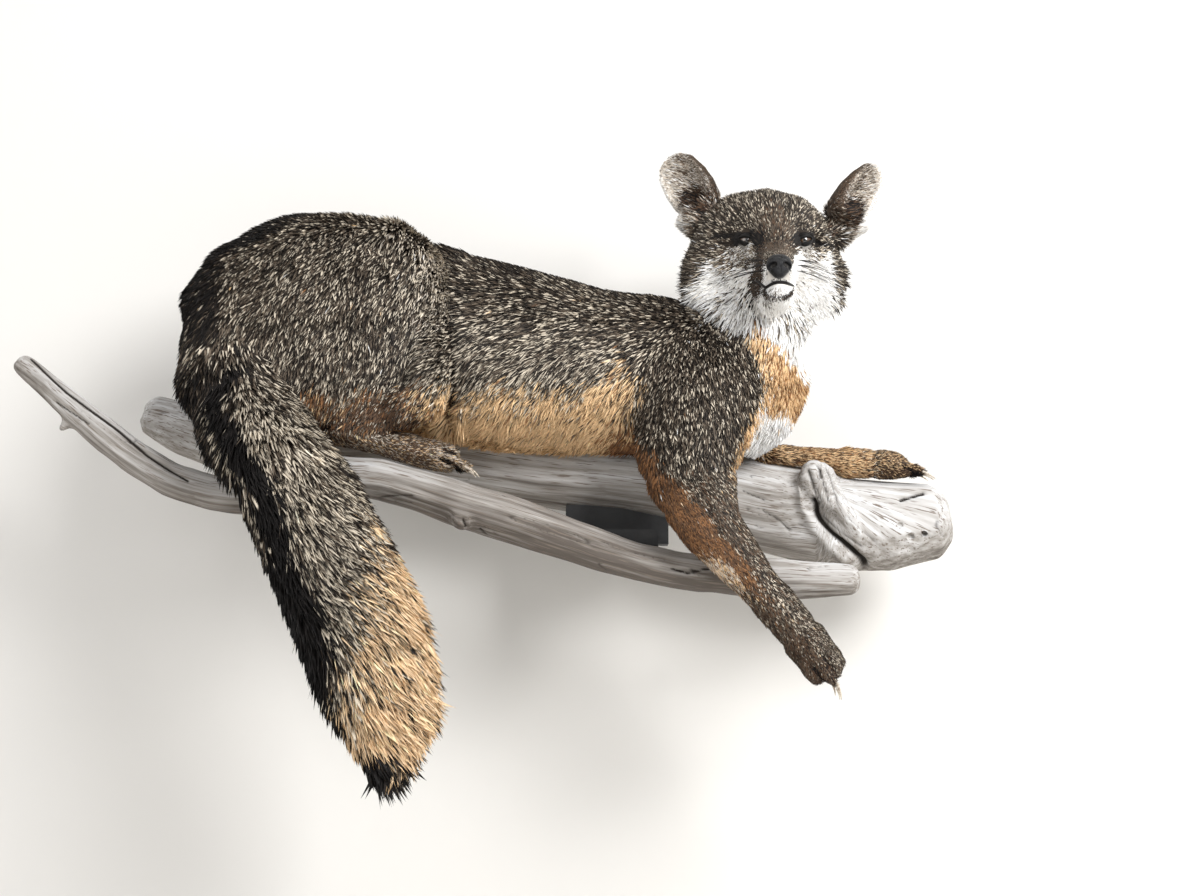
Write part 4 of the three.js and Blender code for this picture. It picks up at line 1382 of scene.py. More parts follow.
def lie_at(points, normals, shares_at):
    """The direction in which the coat lies, tangent to the skin."""
    base = shares_at @ lies
    way = base.copy()
    face = share(shares_at, "head", "muzzle", "lower_jaw")
    from_nose = unit(points - NOSE - [0, 6, 0])
    below = step(BETWEEN_EYES[2] - points[:, 2], 22, 60)
    outward = np.sign(points[:, 0] - NOSE[0]) * 0.15
    from_nose += below[:, None] * np.stack([outward, -0.15 + 0 * below, -0.5 + 0 * below], 1)
    way += face[:, None] * from_nose
    away = points - BETWEEN_EYES
    from_eye = np.stack(
        [np.sign(away[:, 0]) * 0.4 + 0 * below, 0.2 + 0 * below, np.sign(away[:, 2]) * 0.8], 1)
    way += (face * step(eye_reach(points), 12, 3) * 1.2)[:, None] * from_eye
    height = (points[:, 2] - trunk_low[2]) / (trunk_high[2] - trunk_low[2])
    body = share(shares_at, "trunk")
    down = np.interp(height, [0.0, 0.22, 0.4, 0.7, 0.95], [-2.6, -1.5, -0.55, -0.1, 0.25])
    down = down - step(points[:, 0], 110, 200) * 0.8
    down = down - step(-points[:, 0], 130, 215) * 2.0
    way += body[:, None] * (unit(np.stack([-np.ones(len(points)), np.zeros(len(points)), down], 1)) - lies[0])
    tail = share(shares_at, "tail_root", "tail_middle", "tail_end")
    across = (points[:, 0] - tail_middle_x(points[:, 2])) / 45
    way[:, 0] += tail * np.clip(across * 0.55 + 0.16, -0.45, 0.75)
    way[:, 0] -= tail * 0.6 * step(points[:, 2], TAIL_BOTTOM + 50, TAIL_BOTTOM + 25)
    rim, out = haunch_rim(points)
    haunch = share(shares_at, "hindleg_right_thigh", "trunk") * rim
    way += haunch[:, None] * (out * 0.3 + [0, -0.9, 0])
    ear = share(shares_at, "ear_right", "ear_left")
    up_ear, across_ear, inside, directions = ear_places(points, normals)
    sweep = directions[:, 0] * 0.6 + directions[:, 1] * 0.8
    way += ear[:, None] * (directions[:, 0] + (sweep - directions[:, 0]) * inside[:, None] - base)
    way += 0.17 * np.stack([ripple(points, 40, 3), ripple(points, 40, 4), ripple(points, 40, 5)], 1)
    way += 0.12 * np.stack([ripple(points, 13, 6), ripple(points, 13, 9), ripple(points, 13, 10)], 1)
    way -= np.einsum("ij,ij->i", way, normals)[:, None] * normals
    return unit(way)


root_lie = lie_at(roots, root_normals, root_shares)


# %% [markdown]
# ## Length and rise of each tuft
# Each part has its own length and depth of hair. The face runs from velvet at the nose to a deep
# ruff at the cheeks, so its tufts are set by their distance from the nose, and are shortest by the
# eyes.

# %% Hair sizes
SHORTEST = 3.0
LOWEST = 0.8


def sizes_at(points, normals, shares_at):
    """Length, rise above the skin and width of tufts at places on the skin, in millimetres."""
    length, rise, width = (shares_at @ table[key] for key in ("length", "depth", "width"))
    face = share(shares_at, "head", "muzzle", "lower_jaw")
    u, v = (points - BETWEEN_EYES)[:, [0, 2]].T
    nose_reach = np.linalg.norm(points - NOSE, axis=1)
    short = step(nose_reach, 62, 18) * step(face, 0.3, 0.7)
    length = length * (1 - 0.6 * short)
    rise = rise * (1 - 0.6 * short)
    width = width * (1 - 0.3 * short)
    by_eye = step(eye_reach(points), 13, 2) * step(face, 0.3, 0.7)
    length = length * (1 - 0.66 * by_eye)
    rise = rise * (1 - 0.75 * by_eye)
    width = width * (1 - 0.35 * by_eye)
    ruff = face * step(np.abs(u), 30, 50) * step(v, 4, -30)
    under = face * step(v, -44, -56) * step(nose_reach, 28, 50)
    fringe = np.maximum(ruff, under)
    length = length + 12 * fringe
    rise = rise + 3.0 * ruff + 3.5 * under
    ear = share(shares_at, "ear_right", "ear_left")
    up_ear, across_ear, inside, _ = ear_places(points, normals)
    within = ear * inside * step(np.abs(across_ear), 0.86, 0.66)
    long_within = within * step(np.abs(across_ear + 0.1), 0.62, 0.4) * step(up_ear, 0.95, 0.75)
    length = length + long_within * 7
    rise = rise + long_within * 2.2
    tuft_at_base = ear * step(up_ear, 0.22, 0.02)
    length = length + tuft_at_base * 6
    trunk = share(shares_at, "trunk")
    flank = trunk * step(points[:, 2], 112, 84) * step(points[:, 0], 150, 90)
    length = length + 4 * flank
    length = length - 5 * trunk * step(points[:, 0], 110, 170)
    rim, _ = haunch_rim(points)
    at_rim = rim * share(shares_at, "hindleg_right_thigh")
    rise = rise + at_rim * np.interp(points[:, 2], [150, 175], [1.5, -3.0])
    length = length - at_rim * np.interp(points[:, 2], [150, 175], [0, 6])
    far_side = np.clip(normals[:, 1] * 3 - 0.3, 0, 1)
    tail_tip = share(shares_at, "tail_end") * step(points[:, 2], TAIL_BOTTOM + 60, TAIL_BOTTOM + 20)
    length = length + 14 * tail_tip * step(points[:, 0], -50, -80)
    rise = np.maximum(rise, LOWEST * (1 - 0.5 * ear))
    return np.maximum(length, SHORTEST - 0.8 * ear), rise, width * (1 + 0.3 * far_side) * (1 - 0.2 * ruff)


root_length, root_rise, root_width = sizes_at(roots, root_normals, root_shares)

# %% [markdown]
# ## Markings
# Each tuft is of one kind, and the kinds are mixed by lot in shares that change over the body. A
# gray fox is grizzled by tufts with a pale band under a black tip, among darker ones.

# %% Kinds of tuft: root, band and tip colours
KINDS = {
    "dark": ((32, 28, 24), (42, 36, 31), (21, 19, 17)),
    "ticked": ((56, 47, 39), (198, 187, 169), (48, 41, 35)),
    "under": ((55, 46, 39), (99, 88, 76), (63, 54, 46)),
    "tan": ((124, 98, 72), (222, 190, 148), (200, 166, 124)),
    "rust": ((78, 54, 38), (144, 104, 70), (112, 78, 54)),
    "white": ((232, 228, 222), (244, 243, 240), (248, 247, 246)),
    "black": ((16, 14, 14), (26, 23, 22), (15, 14, 14)),
    "brown": ((54, 39, 30), (98, 76, 59), (76, 57, 45)),
    "gold": ((124, 100, 74), (232, 204, 168), (212, 180, 140)),
    "cream": ((132, 116, 102), (206, 196, 182), (214, 205, 192)),
}
KIND_NAMES = list(KINDS)
KIND_COLOURS = np.array([[ink(*colour)[:3] for colour in KINDS[kind]] for kind in KIND_NAMES])


class Markings:
    """Shares of each kind of tuft at every place. Later calls lie over earlier ones."""

    def __init__(self, count):
        self.shares = np.zeros((count, len(KIND_NAMES)))

    def lay(self, cover, **kinds):
        """Covers places with a blend of kinds, by a cover from 0 to 1."""
        blend = np.zeros_like(self.shares)
        for kind, amount in kinds.items():
            blend[:, KIND_NAMES.index(kind)] = amount
        blend /= np.maximum(blend.sum(1, keepdims=True), 1e-9)
        cover = np.clip(cover, 0, 1)[:, None]
        self.shares = self.shares * (1 - cover) + blend * cover


def patch(x, z, centre, size, soft=0.3):
    """1 inside an oval in the front view and 0 outside, with a soft edge."""
    reach = np.hypot((x - centre[0]) / size[0], (z - centre[1]) / size[1])
    return step(reach, 1 + soft, 1 - soft)


def body_markings(marks, points, normals, shares_at, rag):
    """The grizzled coat with its black ridge, tan belly, the pale edge of the haunch, partly a painted
    highlight, and a painted shadow on the flank before that edge.
    """
    x, y, z = points.T
    height = (z - trunk_low[2]) / (trunk_high[2] - trunk_low[2])
    pale = np.interp(height, [0.2, 0.36, 0.5, 0.7, 0.85], [0.6, 0.45, 0.3, 0.15, 0.08])
    pale = pale + 0.07 * ripple(points, 60, 12) - 0.1 * step(x, 90, 130)
    marks.lay(np.ones(len(x)), ticked=pale, dark=(1 - pale) * 0.62, under=(1 - pale) * 0.38)
    trunk = share(shares_at, "trunk")
    belly_line = np.interp(x, [-60, 0, 90, 125, 150], [60, 58, 60, 72, 60])
    marks.lay(trunk * step(z + rag * 1.3, belly_line + 16, belly_line - 12), tan=0.92, rust=0.04, under=0.04)
    marks.lay(trunk * step(x, 110, 165) * step(z, 92, 116), dark=0.56, under=0.3, ticked=0.14)
    marks.lay(share(shares_at, "foreleg_right_upper"), ticked=0.2, dark=0.42, under=0.38)
    elbow = trunk * step(x + rag, 98, 126) * step(z + rag, 46, 26) * step(x, 190, 170)
    marks.lay(elbow, rust=0.9, brown=0.1)
    thigh = share(shares_at, "hindleg_right_thigh", "hindleg_left_thigh")
    marks.lay(thigh * step(height, 0.2, 0.3), ticked=0.3, dark=0.4, under=0.3)
    marks.lay(thigh * step(z + rag, 70, 44), rust=0.3, brown=0.38, tan=0.14, under=0.18)
    rim, _ = haunch_rim(points)
    # A paler fringe along the haunch's front edge: partly pale hair, partly a painted highlight where the rim
    # meets the light.
    marks.lay(thigh * rim * step(z, 30, 55) * 0.9, ticked=0.58, under=0.14, cream=0.28)
    marks.lay(thigh * patch(x, z, (-56, 32), (20, 10)), white=0.85, tan=0.15)
    edge_on = np.interp(x, [-170, -110], [0.66, 0.34])
    ridge = step(-normals[:, 1] - edge_on, 0.04, -0.12) * step(normals[:, 2] - normals[:, 0] * 0.8, -0.3, 0.2)
    ridge *= step(normals[:, 1], 0.75, 0.5)
    rump = step(-x, 95, 170)
    body = share(shares_at, "trunk", "hindleg_right_thigh", "tail_root")
    off_thigh = 1 - 0.8 * thigh * step(x, -140, -105)
    marks.lay(body * ridge * (0.3 + 0.66 * rump) * step(x, 200, 150) * off_thigh, black=0.75, dark=0.25)
    left_edge = body * step(x + (z - 60) * 0.12, thigh_low[0] + 40, thigh_low[0] + 22)
    marks.lay(left_edge * step(z, 62, 84) * 0.9, black=0.66, dark=0.34)
    # Painted shadow: the flank is darkened along the haunch's front edge, where the haunch overhangs it.
    haunch_shadow = np.exp(-(near_path(points[:, [0, 2]], HAUNCH_EDGE) / 13) ** 2)
    haunch_shadow = haunch_shadow * (1 - haunch_side(points))
    marks.lay(trunk * haunch_shadow * step(z, 70, 90) * 0.8, dark=0.6, under=0.3, black=0.1)


def neck_markings(marks, points, shares_at, rag):
    """The rusty strip down the side of the neck, the white throat wedge and the white bib."""
    x, y, z = points.T
    front = share(
        shares_at, "neck", "trunk", "foreleg_right_upper", "foreleg_left_upper", "lower_jaw", "head")
    marks.lay(share(shares_at, "neck"), ticked=0.3, dark=0.42, under=0.28)
    rust_edge = np.interp(z, [-12, 19, 46, 54, 81, 96, 113, 122], [190, 202, 212, 223, 221, 216, 213, 210])
    below_ruff = step(z, 124, 116)
    marks.lay(front * step(x + rag * 0.6, rust_edge - 5, rust_edge + 4) * below_ruff, rust=0.22, tan=0.78)
    bib_edge = np.interp(z, [0, 46], [206, 215])
    bib_side = step(x + rag * 0.6, bib_edge - 3, bib_edge + 4)
    marks.lay(front * bib_side * step(z + rag * 0.5, 54, 46), white=1.0)
    throat_edge = np.interp(z, [74, 80, 100, 114, 122], [260, 251, 238, 224, 214])
    marks.lay(front * step(x + rag * 0.4, throat_edge - 3, throat_edge + 3) * step(z, 66, 76), white=1.0)
    under_chin = share(shares_at, "neck", "lower_jaw", "head") * step(y, -105, -118) * step(z, 110, 117)
    marks.lay(under_chin * step(x + rag * 0.3, 194, 204) * step(x, 282, 272) * step(z, 136, 130), white=1.0)
    behind = step(y, -95, -80)
    marks.lay(share(shares_at, "neck") * behind * step(z, 40, 52), ticked=0.35, dark=0.4, under=0.25)


def limb_markings(marks, points, shares_at, rag):
    """Rusty forelegs with a grizzled front, brown shanks, feet with paler toes, and painted shade along the
    toe creases.
    """
    x, y, z = points.T
    shank = share(shares_at, "hindleg_right_shank", "hindleg_left_shank")
    marks.lay(shank, brown=0.6, rust=0.15, dark=0.15, under=0.1)
    foot = share(shares_at, "hindfoot_right", "hindfoot_left")
    marks.lay(foot, brown=0.5, under=0.28, tan=0.1, cream=0.12)
    marks.lay(foot * step(x, -48, -20), tan=0.2, brown=0.26, under=0.14, cream=0.4)
    upper = share(shares_at, "foreleg_right_upper", "foreleg_right_lower")
    marks.lay(upper * step(z, 10, -30), ticked=0.12, under=0.36, dark=0.34, brown=0.18)
    leg_line = np.interp(z, [-118, -98, -78, -57, -40, -20, 10, 30], [238, 219, 201, 184, 168, 153, 137, 125])
    marks.lay(upper * step(x + rag * 0.5, leg_line + 4, leg_line - 4), rust=0.5, brown=0.5)
    pale_edge = step(x + rag * 0.3, leg_line - 12, leg_line - 16)
    marks.lay(upper * pale_edge * step(z, -64, -84), tan=0.4, cream=0.4, rust=0.2)
    leg_front = np.interp(z, [-30, -10, 10, 40, 60], [193, 198, 204, 212, 218])
    front_edge = step(x + rag * 0.3, leg_front - 3, leg_front + 5)
    marks.lay(upper * front_edge * step(z, -30, -10), tan=0.8, white=0.2)
    near_wrist = share(shares_at, "foreleg_right_lower", "forepaw_right") * step(z, -84, -112)
    marks.lay(near_wrist, brown=0.36, under=0.34, dark=0.2, ticked=0.1)
    far_arm = share(shares_at, "foreleg_left_upper", "foreleg_left_lower")
    marks.lay(far_arm, rust=0.2, tan=0.65, brown=0.15)
    marks.lay(far_arm * step(ripple(points, 26, 21), 0.2, 0.5), brown=0.5, tan=0.5)
    marks.lay(share(shares_at, "foreleg_left_upper") * step(x, 226, 206), white=1.0)
    paw = share(shares_at, "forepaw_right")
    top_of_paw = step(x * 0.78 + z * 0.62, 104, 112)
    marks.lay(paw, brown=0.42, dark=0.26, under=0.28, ticked=0.04)
    marks.lay(share(shares_at, "forepaw_right", "foreleg_right_lower") * top_of_paw * step(z, -70, -100),
              brown=0.1, dark=0.3, under=0.34, ticked=0.26)
    far_paw = share(shares_at, "forepaw_left")
    marks.lay(far_paw, tan=0.36, brown=0.34, dark=0.12, under=0.18)
    marks.lay(far_paw * step(z, 6, -2), brown=0.5, dark=0.4, tan=0.1)
    # Painted shade: black lines along the toe creases, between the toes.
    for foot, creases in TOE_CREASES.items():
        foot_low, foot_high = corners(foot)
        on_foot = share(shares_at, foot)
        for crease in creases:
            path = np.array([(foot_high[0] + across, 0, foot_low[2] + up) for across, up in crease], float)
            reach = near_path(points * [1, 0, 1], path)
            marks.lay(on_foot * step(reach, 2.4, 1.0), black=0.85, brown=0.15)


def tail_markings(marks, points, normals, shares_at, rag):
    """A grizzled tail with a black stripe along one side, gold on the other and a black tip."""
    x, y, z = points.T
    tail = share(shares_at, "tail_root", "tail_middle", "tail_end")
    middle_x = tail_middle_x(z)
    across = (x - middle_x) / np.interp(z, [-240, -205, -150, 0, 90], [26, 40, 50, 50, 40])
    pale = np.interp(z, [-200, -100, 20, 62, 90], [0.56, 0.64, 0.68, 0.42, 0.24])
    marks.lay(tail, ticked=pale, dark=(0.95 - pale) * 0.55, under=(0.95 - pale) * 0.45)
    gold_from = np.interp(z, [-205, -150, -90, -30, 30], [-0.45, -0.1, 0.32, 0.85, 1.5])
    gold_side = step(across + rag * 0.03, gold_from - 0.4, gold_from + 0.4)
    marks.lay(tail * gold_side * 0.96, gold=0.9, dark=0.06, under=0.04)
    stripe_at = np.interp(z, [-177, -122, -67, -12, 60], [-0.5, -0.46, -0.58, -0.36, -0.36])
    stripe_half = np.interp(z, [-177, -122, -67, -12, 60], [0.19, 0.2, 0.19, 0.14, 0.14])
    stripe = step(np.abs(across - stripe_at + rag * 0.006) - stripe_half, 0.05, -0.05)
    stripe = stripe * step(normals[:, 1], 0.6, 0.3)
    marks.lay(tail * stripe * step(z, 92, 70), black=1.0)
    left_of_stripe = step(across - stripe_at + stripe_half, 0.0, -0.12)
    marks.lay(tail * left_of_stripe * step(z, 92, 70), dark=0.5, black=0.3, under=0.2)
    tip_line = TAIL_BOTTOM + np.interp(x, [-130, -112, -84, -58, -40], [78, 72, 60, 46, 16])
    marks.lay(tail * step(z + rag * 0.6, tip_line + 6, tip_line - 6), black=1.0)
    marks.lay(tail * step(normals[:, 1], 0.5, 0.8), ticked=0.4, dark=0.35, under=0.25)


def face_markings(marks, points, shares_at):
    """The mask: grey crown, brown bridge, dark eye lines, a dark muzzle side that is partly painted shade,
    white cheeks and chin, and painted shade along the lower lip and under the chin.
    """
    u, v = (points - BETWEEN_EYES)[:, [0, 2]].T
    y = points[:, 1]
    wobble = ripple(points, 9, 31) * 1.5
    head = share(shares_at, "head", "muzzle", "lower_jaw")
    snout = share(shares_at, "muzzle", "lower_jaw")
    front = step(y, -104, -122)
    marks.lay(head, ticked=0.24, dark=0.5, under=0.26)
    side_left = step(u, -28, -44) * step(v, 10, -6)
    marks.lay(head * side_left, ticked=0.24, dark=0.44, under=0.32)
    marks.lay(head * step(v + wobble, 30, 44) * 0.5, ticked=0.36, dark=0.5, under=0.14)
    forehead = patch(u, v, (-1, -2), (10, 24))
    marks.lay(head * forehead * step(y, -120, -140), under=0.44, brown=0.18, ticked=0.12, dark=0.26)
    left_edge = np.interp(v, [-62, -48, -40, -27, -12, -4], [-72, -66, -57, -50, -42, -38])
    right_edge = np.interp(v, [-62, -50, -31, -10, -2], [52, 48, 43, 38.5, 36])
    top_edge = np.interp(u, [-48, -36, -26, -19, -13, -11, 7, 11, 17, 28, 38],
                         [-6, -12, -18, -24, -26, -32, -32, -20, -9, -10, -6])
    cheek = step(u + wobble, left_edge - 2.5, left_edge + 2.5)
    cheek = cheek * step(u + wobble, right_edge + 2.5, right_edge - 2.5)
    cheek *= step(v + wobble, top_edge + 2.5, top_edge - 2.5)
    marks.lay(head * cheek * step(y, -70, -90), white=1.0)
    marks.lay(head * patch(u, v, (-26, -11), (15, 9)) * front, under=0.42, brown=0.06, ticked=0.3, white=0.22)
    marks.lay(head * patch(u, v, (23, -9), (13, 4.5)) * front, under=0.35, white=0.4, ticked=0.25)
    bridge = step(v + wobble * 0.6, -21, -15) * step(np.abs(u), 16, 11)
    marks.lay(snout * bridge, under=0.42, brown=0.18, dark=0.4)
    behind_nose = patch(points[:, 0], points[:, 2], NOSE[[0, 2]], nose_half[[0, 2]] * 0.84)
    marks.lay(head * (behind_nose * step(y, -188, -192)), black=1.0)
    # The dark band down the left side of the muzzle is partly dark fur and partly painted shade.
    dark_side = np.interp(v, [-50, -44, -30, -10, 0], [-16.5, -15.5, -15.5, -12.5, -10])
    muzzle_dark_and_shade = step(np.abs(u - dark_side), 4.4, 1.4) * step(v, -52, -44) * step(v, 2, -4)
    marks.lay(head * (muzzle_dark_and_shade * step(y, -138, -150)), black=0.6, under=0.25, brown=0.15)
    right_side = step(np.abs(u - 13.5), 3.5, 1.5) * step(v, -12, -8) * step(v, 2, -2) * step(y, -140, -150)
    marks.lay(head * right_side * 0.7, black=0.4, brown=0.6)
    for side, sign in (("right", -1), ("left", 1)):
        eye = eye_spots[side] - BETWEEN_EYES
        round_eye = patch(u, v, (eye[0] + sign * 0.8, eye[2] + 0.6), (9.8, 5.2), 0.12)
        marks.lay(head * round_eye * front, black=1.0)
        tail_of_eye = patch(u, v, (eye[0] + sign * 13, eye[2] + 3.4 - sign), (9.5, 2.0))
        marks.lay(head * tail_of_eye * front, black=0.9, dark=0.1)
        inner_corner = patch(u, v, (eye[0] - sign * 9.5, eye[2] - 5.6), (3.6, 4.6))
        marks.lay(head * inner_corner * front, black=0.9, dark=0.1)
    # Black along the lower lip: partly the dark lip edge, partly a painted shadow under the chin.
    chin_dark = step(np.abs(near_flat(points, lower_lip)), 1.9, 0.8)
    marks.lay(head * chin_dark * step(y, -170, -178), black=0.8, brown=0.2)
    # Painted shade: the left part of the lower lip is greyed.
    lip_painted_shade = patch(u, v, (-5.5, -51.5), (7.5, 4.5)) * step(y, -170, -178)
    marks.lay(head * lip_painted_shade * 0.6, under=0.7, white=0.3)


def near_flat(points, path):
    """Distance in the front view to a path on the face."""
    reach = np.full(len(points), 99.0)
    close = (np.abs(points[:, [0, 2]] - middle("lower_jaw")[[0, 2]]) < 60).all(1)
    reach[close] = near_path(points[close][:, [0, 2]], path[::3][:, [0, 2]])
    return reach


def ear_markings(marks, points, normals, shares_at):
    """Cream rims and inner hair over a hollow darkened by painted shade, with a brown back and inner edge."""
    ear = share(shares_at, "ear_right", "ear_left")
    up_ear, across_ear, inside, _ = ear_places(points, normals)
    marks.lay(ear, under=0.5, dark=0.25, brown=0.25)
    pale_share = np.interp(across_ear, [-0.8, -0.3, 0.3, 0.7], [0.3, 0.55, 0.9, 1.0])
    pale_share = pale_share * step(up_ear, 0.05, 0.4)
    marks.lay(ear * inside, cream=0.72, under=0.06, white=0.22)
    marks.lay(ear * inside * (1 - pale_share), under=0.6, brown=0.15, cream=0.25)
    # Painted shade: the hollow of the ear's cup is darkened.
    hollow = patch(across_ear, up_ear, (-0.2, 0.2), (0.6, 0.26))
    marks.lay(ear * inside * hollow, black=0.6, brown=0.4)
    rim = np.maximum(step(across_ear, 0.72, 0.84), step(up_ear, 0.92, 0.97))
    marks.lay(ear * rim * step(normals[:, 1], 0.7, 0.3), cream=0.2, white=0.8)
    marks.lay(ear * step(across_ear, -0.8, -0.94) * step(up_ear, 0.92, 0.8), brown=0.4, dark=0.3, under=0.3)


def markings_at(points, normals, shares_at):
    """Shares of each kind of tuft at places on the skin."""
    marks = Markings(len(points))
    rag = ripple(points, 22, 7) * 5 + ripple(points, 9, 8) * 2
    body_markings(marks, points, normals, shares_at, rag)
    neck_markings(marks, points, shares_at, rag)
    limb_markings(marks, points, shares_at, rag)
    tail_markings(marks, points, normals, shares_at, rag)
    face_markings(marks, points, shares_at)
    ear_markings(marks, points, normals, shares_at)
    return marks.shares


marks_here = markings_at(roots, root_normals, root_shares)
pick = (marks_here.cumsum(1) < chance.random((len(roots), 1)) * marks_here.sum(1, keepdims=True)).sum(1)
pick = np.minimum(pick, len(KIND_NAMES) - 1)
print({kind: int((pick == k).sum()) for k, kind in enumerate(KIND_NAMES)})
skin_shares = share_field.at(skin_points)
skin_marks = markings_at(skin_points, skin_normals, skin_shares)
on_ears = share(skin_shares, "ear_right", "ear_left")[:, None]
ground = skin_marks @ KIND_COLOURS[:, 0] * (1 - on_ears) + skin_marks @ KIND_COLOURS[:, 1] * on_ears
note(skin, "ground", ground, "FLOAT_COLOR")

# %% [markdown]
# ## Tufts
# A tuft is a closed blade with the fewest faces a bent solid can have: a root in the skin, a line
# across its bend, and a fine tip. It leaves the skin, then bends over to lie along it. Its flat side
# faces out, so the coat shades like the body under it.

# %% Build tufts
OFBAKE_PATCH = 0.003
BEND = 0.52
BLADE = [(0, 2, 1), (1, 2, 3), (0, 1, 3), (2, 0, 3)]


def grow(name, chosen):
    """Builds the chosen tufts as one mesh.

    Along a tuft t runs from 0 to 1. Its line is root + lie * length * t + normal * height * (1 - (1 - t)^2)
    + side * sway * t^2. Its root, the two ends of a line across it at the bend, and its tip are the
    corners of a closed blade of four triangles.
    """
    count = len(chosen)
    root, normal, lie = roots[chosen], root_normals[chosen], root_lie[chosen]
    side = np.cross(lie, normal)
    length = root_length[chosen] * chance.uniform(0.7, 1.15, count)
    height = root_rise[chosen] * chance.uniform(0.62, 1.06, count)
    width = root_width[chosen] * chance.uniform(0.7, 1.3, count)
    sway = length * chance.normal(0, 0.13, count)
    sink = np.minimum(0.8, 0.5 * root_rise[chosen])

    def line(t):
        out = height * (1 - (1 - t) ** 2) - sink * (1 - t)
        return root + lie * (length * t)[:, None] + normal * out[:, None] + side * (sway * t * t)[:, None]

    bend = line(np.full(count, BEND))
    half = side * (width / 2)[:, None]
    points = np.stack([line(np.zeros(count)), bend - half, bend + half, line(np.ones(count))], 1)
    along, across = (np.tile(values, (count, 1)).astype(np.float32) for values in (
        [0, BEND, BEND, 1], [0.5, 0, 1, 0.5]))
    per = len(BLADE)
    faces = (np.arange(count)[:, None, None] * per + np.array(BLADE)).reshape(-1, 3)
    piece = put_mesh(name, points.reshape(-1, 3), faces, smooth=False)
    uv = root_uv[chosen][:, None, :] + (np.stack([across, along], 2) - 0.5) * OFBAKE_PATCH
    layer = piece.data.uv_layers.new(name="OFBake")
    layer.data.foreach_set("uv", uv.reshape(-1, 2)[faces.ravel()].astype(np.float32).ravel())
    tone = np.exp(chance.normal(0, 0.14, count) + 0.1 * ripple(root, 16, 14))[:, None]
    for stage_name, k in (("root_colour", 0), ("band_colour", 1), ("tip_colour", 2)):
        colour = KIND_COLOURS[pick[chosen], k] * tone
        note(piece, stage_name, np.repeat(np.clip(colour, 0, 0.93), per, 0), "FLOAT_COLOR")
    note(piece, "along", along.ravel())
    return piece


def coat_material():
    """Hair colour along a tuft: root colour, then a band, then the tip, varied by fine noise."""
    material, shader, wire = start_material("coat", roughness=0.62, specular=0.2)
    along = wire.node("ShaderNodeAttribute", {"attribute_name": "along"}, output="Fac")
    root = wire.node("ShaderNodeAttribute", {"attribute_name": "root_colour"}, output="Color")
    band = wire.node("ShaderNodeAttribute", {"attribute_name": "band_colour"}, output="Color")
    tip = wire.node("ShaderNodeAttribute", {"attribute_name": "tip_colour"}, output="Color")
    place = wire.node("ShaderNodeTexCoord", output="Object")
    uneven = wire.noise(place, 300.0) * 0.16 + along - 0.08
    colour = uneven.rise(0.82, 0.92).mix(uneven.rise(0.5, 0.62).mix(root, band), tip)
    plug(colour, shader, "Base Color")
    return material


# %% Coat pieces
PIECES = {
    "coat_back": (["trunk"], "coat_grizzled"),
    "coat_haunch": (["hindleg_right_thigh", "hindleg_left_thigh"], "coat_grizzled"),
    "coat_shank": (["hindleg_right_shank", "hindleg_left_shank"], "coat_brown"),
    "coat_tail": (["tail_root", "tail_middle", "tail_end"], "coat_tail"),
    "coat_neck": (["neck"], "coat_pale"),
    "coat_head": (["head", "muzzle", "lower_jaw"], "coat_face"),
    "coat_ears": (["ear_right", "ear_left"], "coat_ear"),
    "coat_shoulder": (["foreleg_right_upper", "foreleg_left_upper"], "coat_grizzled"),
    "coat_forelegs": (["foreleg_right_lower", "foreleg_left_lower"], "coat_rust"),
    "coat_feet": (["forepaw_right", "forepaw_left", "hindfoot_right", "hindfoot_left"], "coat_brown"),
}
LARGEST_PIECE = 190000
coat_paint = coat_material()
most_of = root_shares.argmax(1)
total = 0
for name, (nodes, slot) in PIECES.items():
    chosen = np.flatnonzero(np.isin(most_of, [NAMES.index(node) for node in nodes]))
    parts = math.ceil(len(chosen) * len(BLADE) / LARGEST_PIECE)
    chosen = chosen[np.argsort(roots[chosen][:, 0], kind="stable")]
    for number, some in enumerate(np.array_split(chosen, parts)):
        piece = grow(f"{name}_{number + 1}", some)
        piece.data.materials.append(coat_paint)
        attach(piece, "root")
        total += len(piece.data.polygons)
print("coat triangles:", total)


# %% Skin material
def skin_material():
    """The skin under the coat, in the root colour of the tufts that grow there."""
    material, shader, wire = start_material("skin", roughness=0.75, specular=0.15)
    ground = wire.node("ShaderNodeAttribute", {"attribute_name": "ground"}, output="Color")
    place = wire.node("ShaderNodeTexCoord", output="Object")
    pores = wire.noise(place, 700.0, 3.0)
    plug(ground, shader, "Base Color")
    bump = wire.bump(pores, 0.5, 0.0005)
    plug(bump, shader, "Normal")
    return material


skin.data.materials.append(skin_material())
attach(skin, "root")
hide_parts(*NAMES)

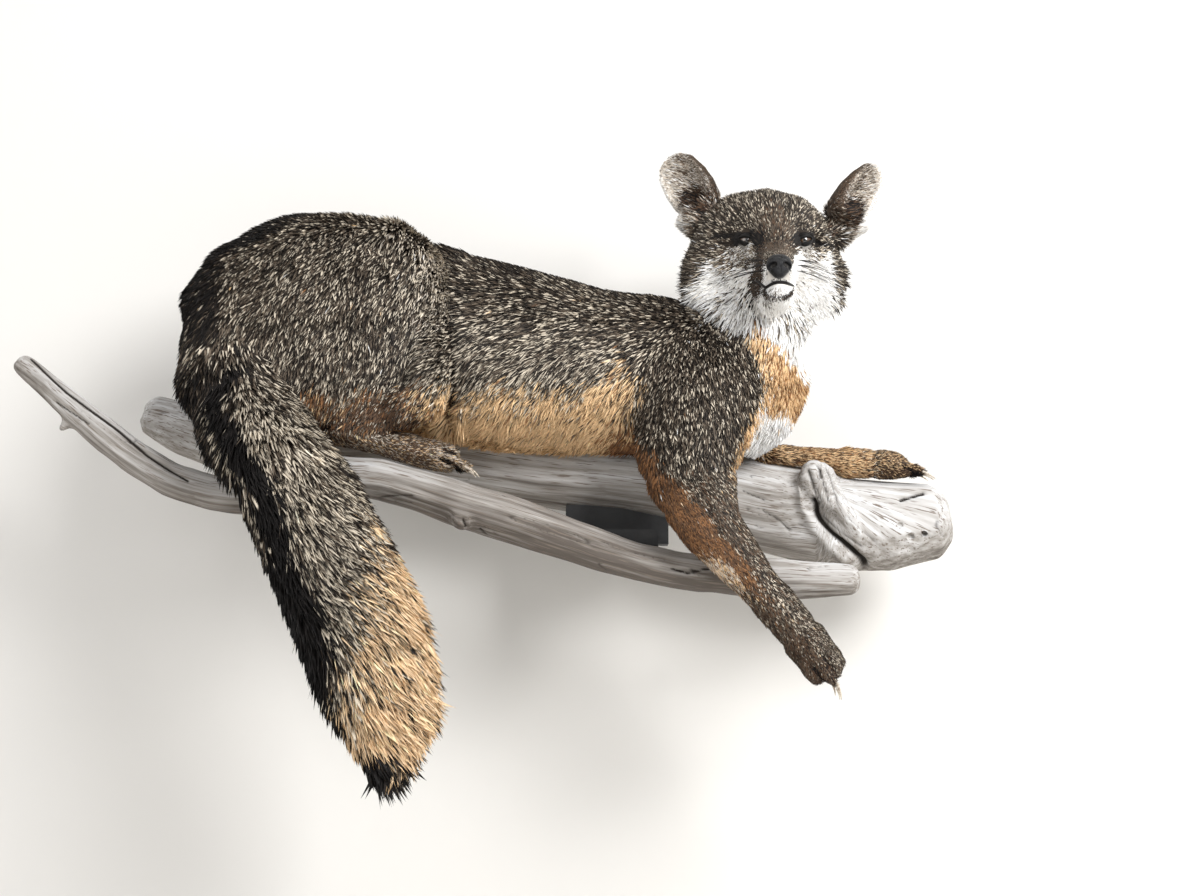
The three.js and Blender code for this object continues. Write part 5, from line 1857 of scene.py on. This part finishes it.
# %% [markdown]
# ## Claws and painted steel
# Each claw is a smooth curved horn. The solid's own mesh is coarse, so a merged copy is rounded by
# subdivision, once per foot. The hanging plate and the bracket keep their solids and get black paint.

# %% Claws
import bmesh

CLAW_LEVELS = 2


def claws_of(foot):
    """A rounded copy of one foot's four claws."""
    nodes = [f"{foot}_claw_{number}" for number in range(1, 5)]
    spots, faces = triangles_of(nodes)
    piece = put_mesh(f"claws_{foot}", spots, faces)
    shape = bmesh.new()
    shape.from_mesh(piece.data)
    bmesh.ops.remove_doubles(shape, verts=shape.verts, dist=0.02 * MM)
    shape.to_mesh(piece.data)
    shape.free()
    rounding = piece.modifiers.new("rounding", "SUBSURF")
    rounding.levels = CLAW_LEVELS
    rounding.render_levels = CLAW_LEVELS
    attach(piece, "root")
    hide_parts(*nodes)
    return piece


def claw_material():
    """Horn: pale at the edge, browner in streaks."""
    material, shader, wire = start_material("claw_horn", roughness=0.35, specular=0.4)
    place = wire.node("ShaderNodeTexCoord", output="Object")
    streaks = wire.noise(place, 420.0, 3.0)
    plug(streaks.rise(0.35, 0.7).mix(ink(206, 196, 180), ink(134, 118, 100)), shader, "Base Color")
    bump = wire.bump(streaks, 0.3, 0.0003)
    plug(bump, shader, "Normal")
    return material


claw_paint = claw_material()
for foot in FEET:
    claws_of(foot).data.materials.append(claw_paint)


# %% Painted steel
def steel_material():
    """Black paint with a fine orange-peel surface and greyer dust in places."""
    material, shader, wire = start_material("black_steel", roughness=0.45, specular=0.4)
    place = wire.node("ShaderNodeTexCoord", output="Object")
    peel = wire.noise(place, 520.0, 2.0)
    dust = wire.noise(place, 28.0, 5.0)
    plug(dust.rise(0.45, 0.75).mix(ink(24, 25, 27), ink(52, 52, 53)), shader, "Base Color")
    plug(dust.rise(0.4, 0.8) * 0.25 + 0.4, shader, "Roughness")
    bump = wire.bump(peel, 0.3, 0.0004)
    plug(bump, shader, "Normal")
    return material


steel_paint = steel_material()
for node in ("wall_plate", "joining_bracket"):
    steel_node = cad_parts[node]
    for spot in steel_node.material_slots:
        spot.material = steel_paint
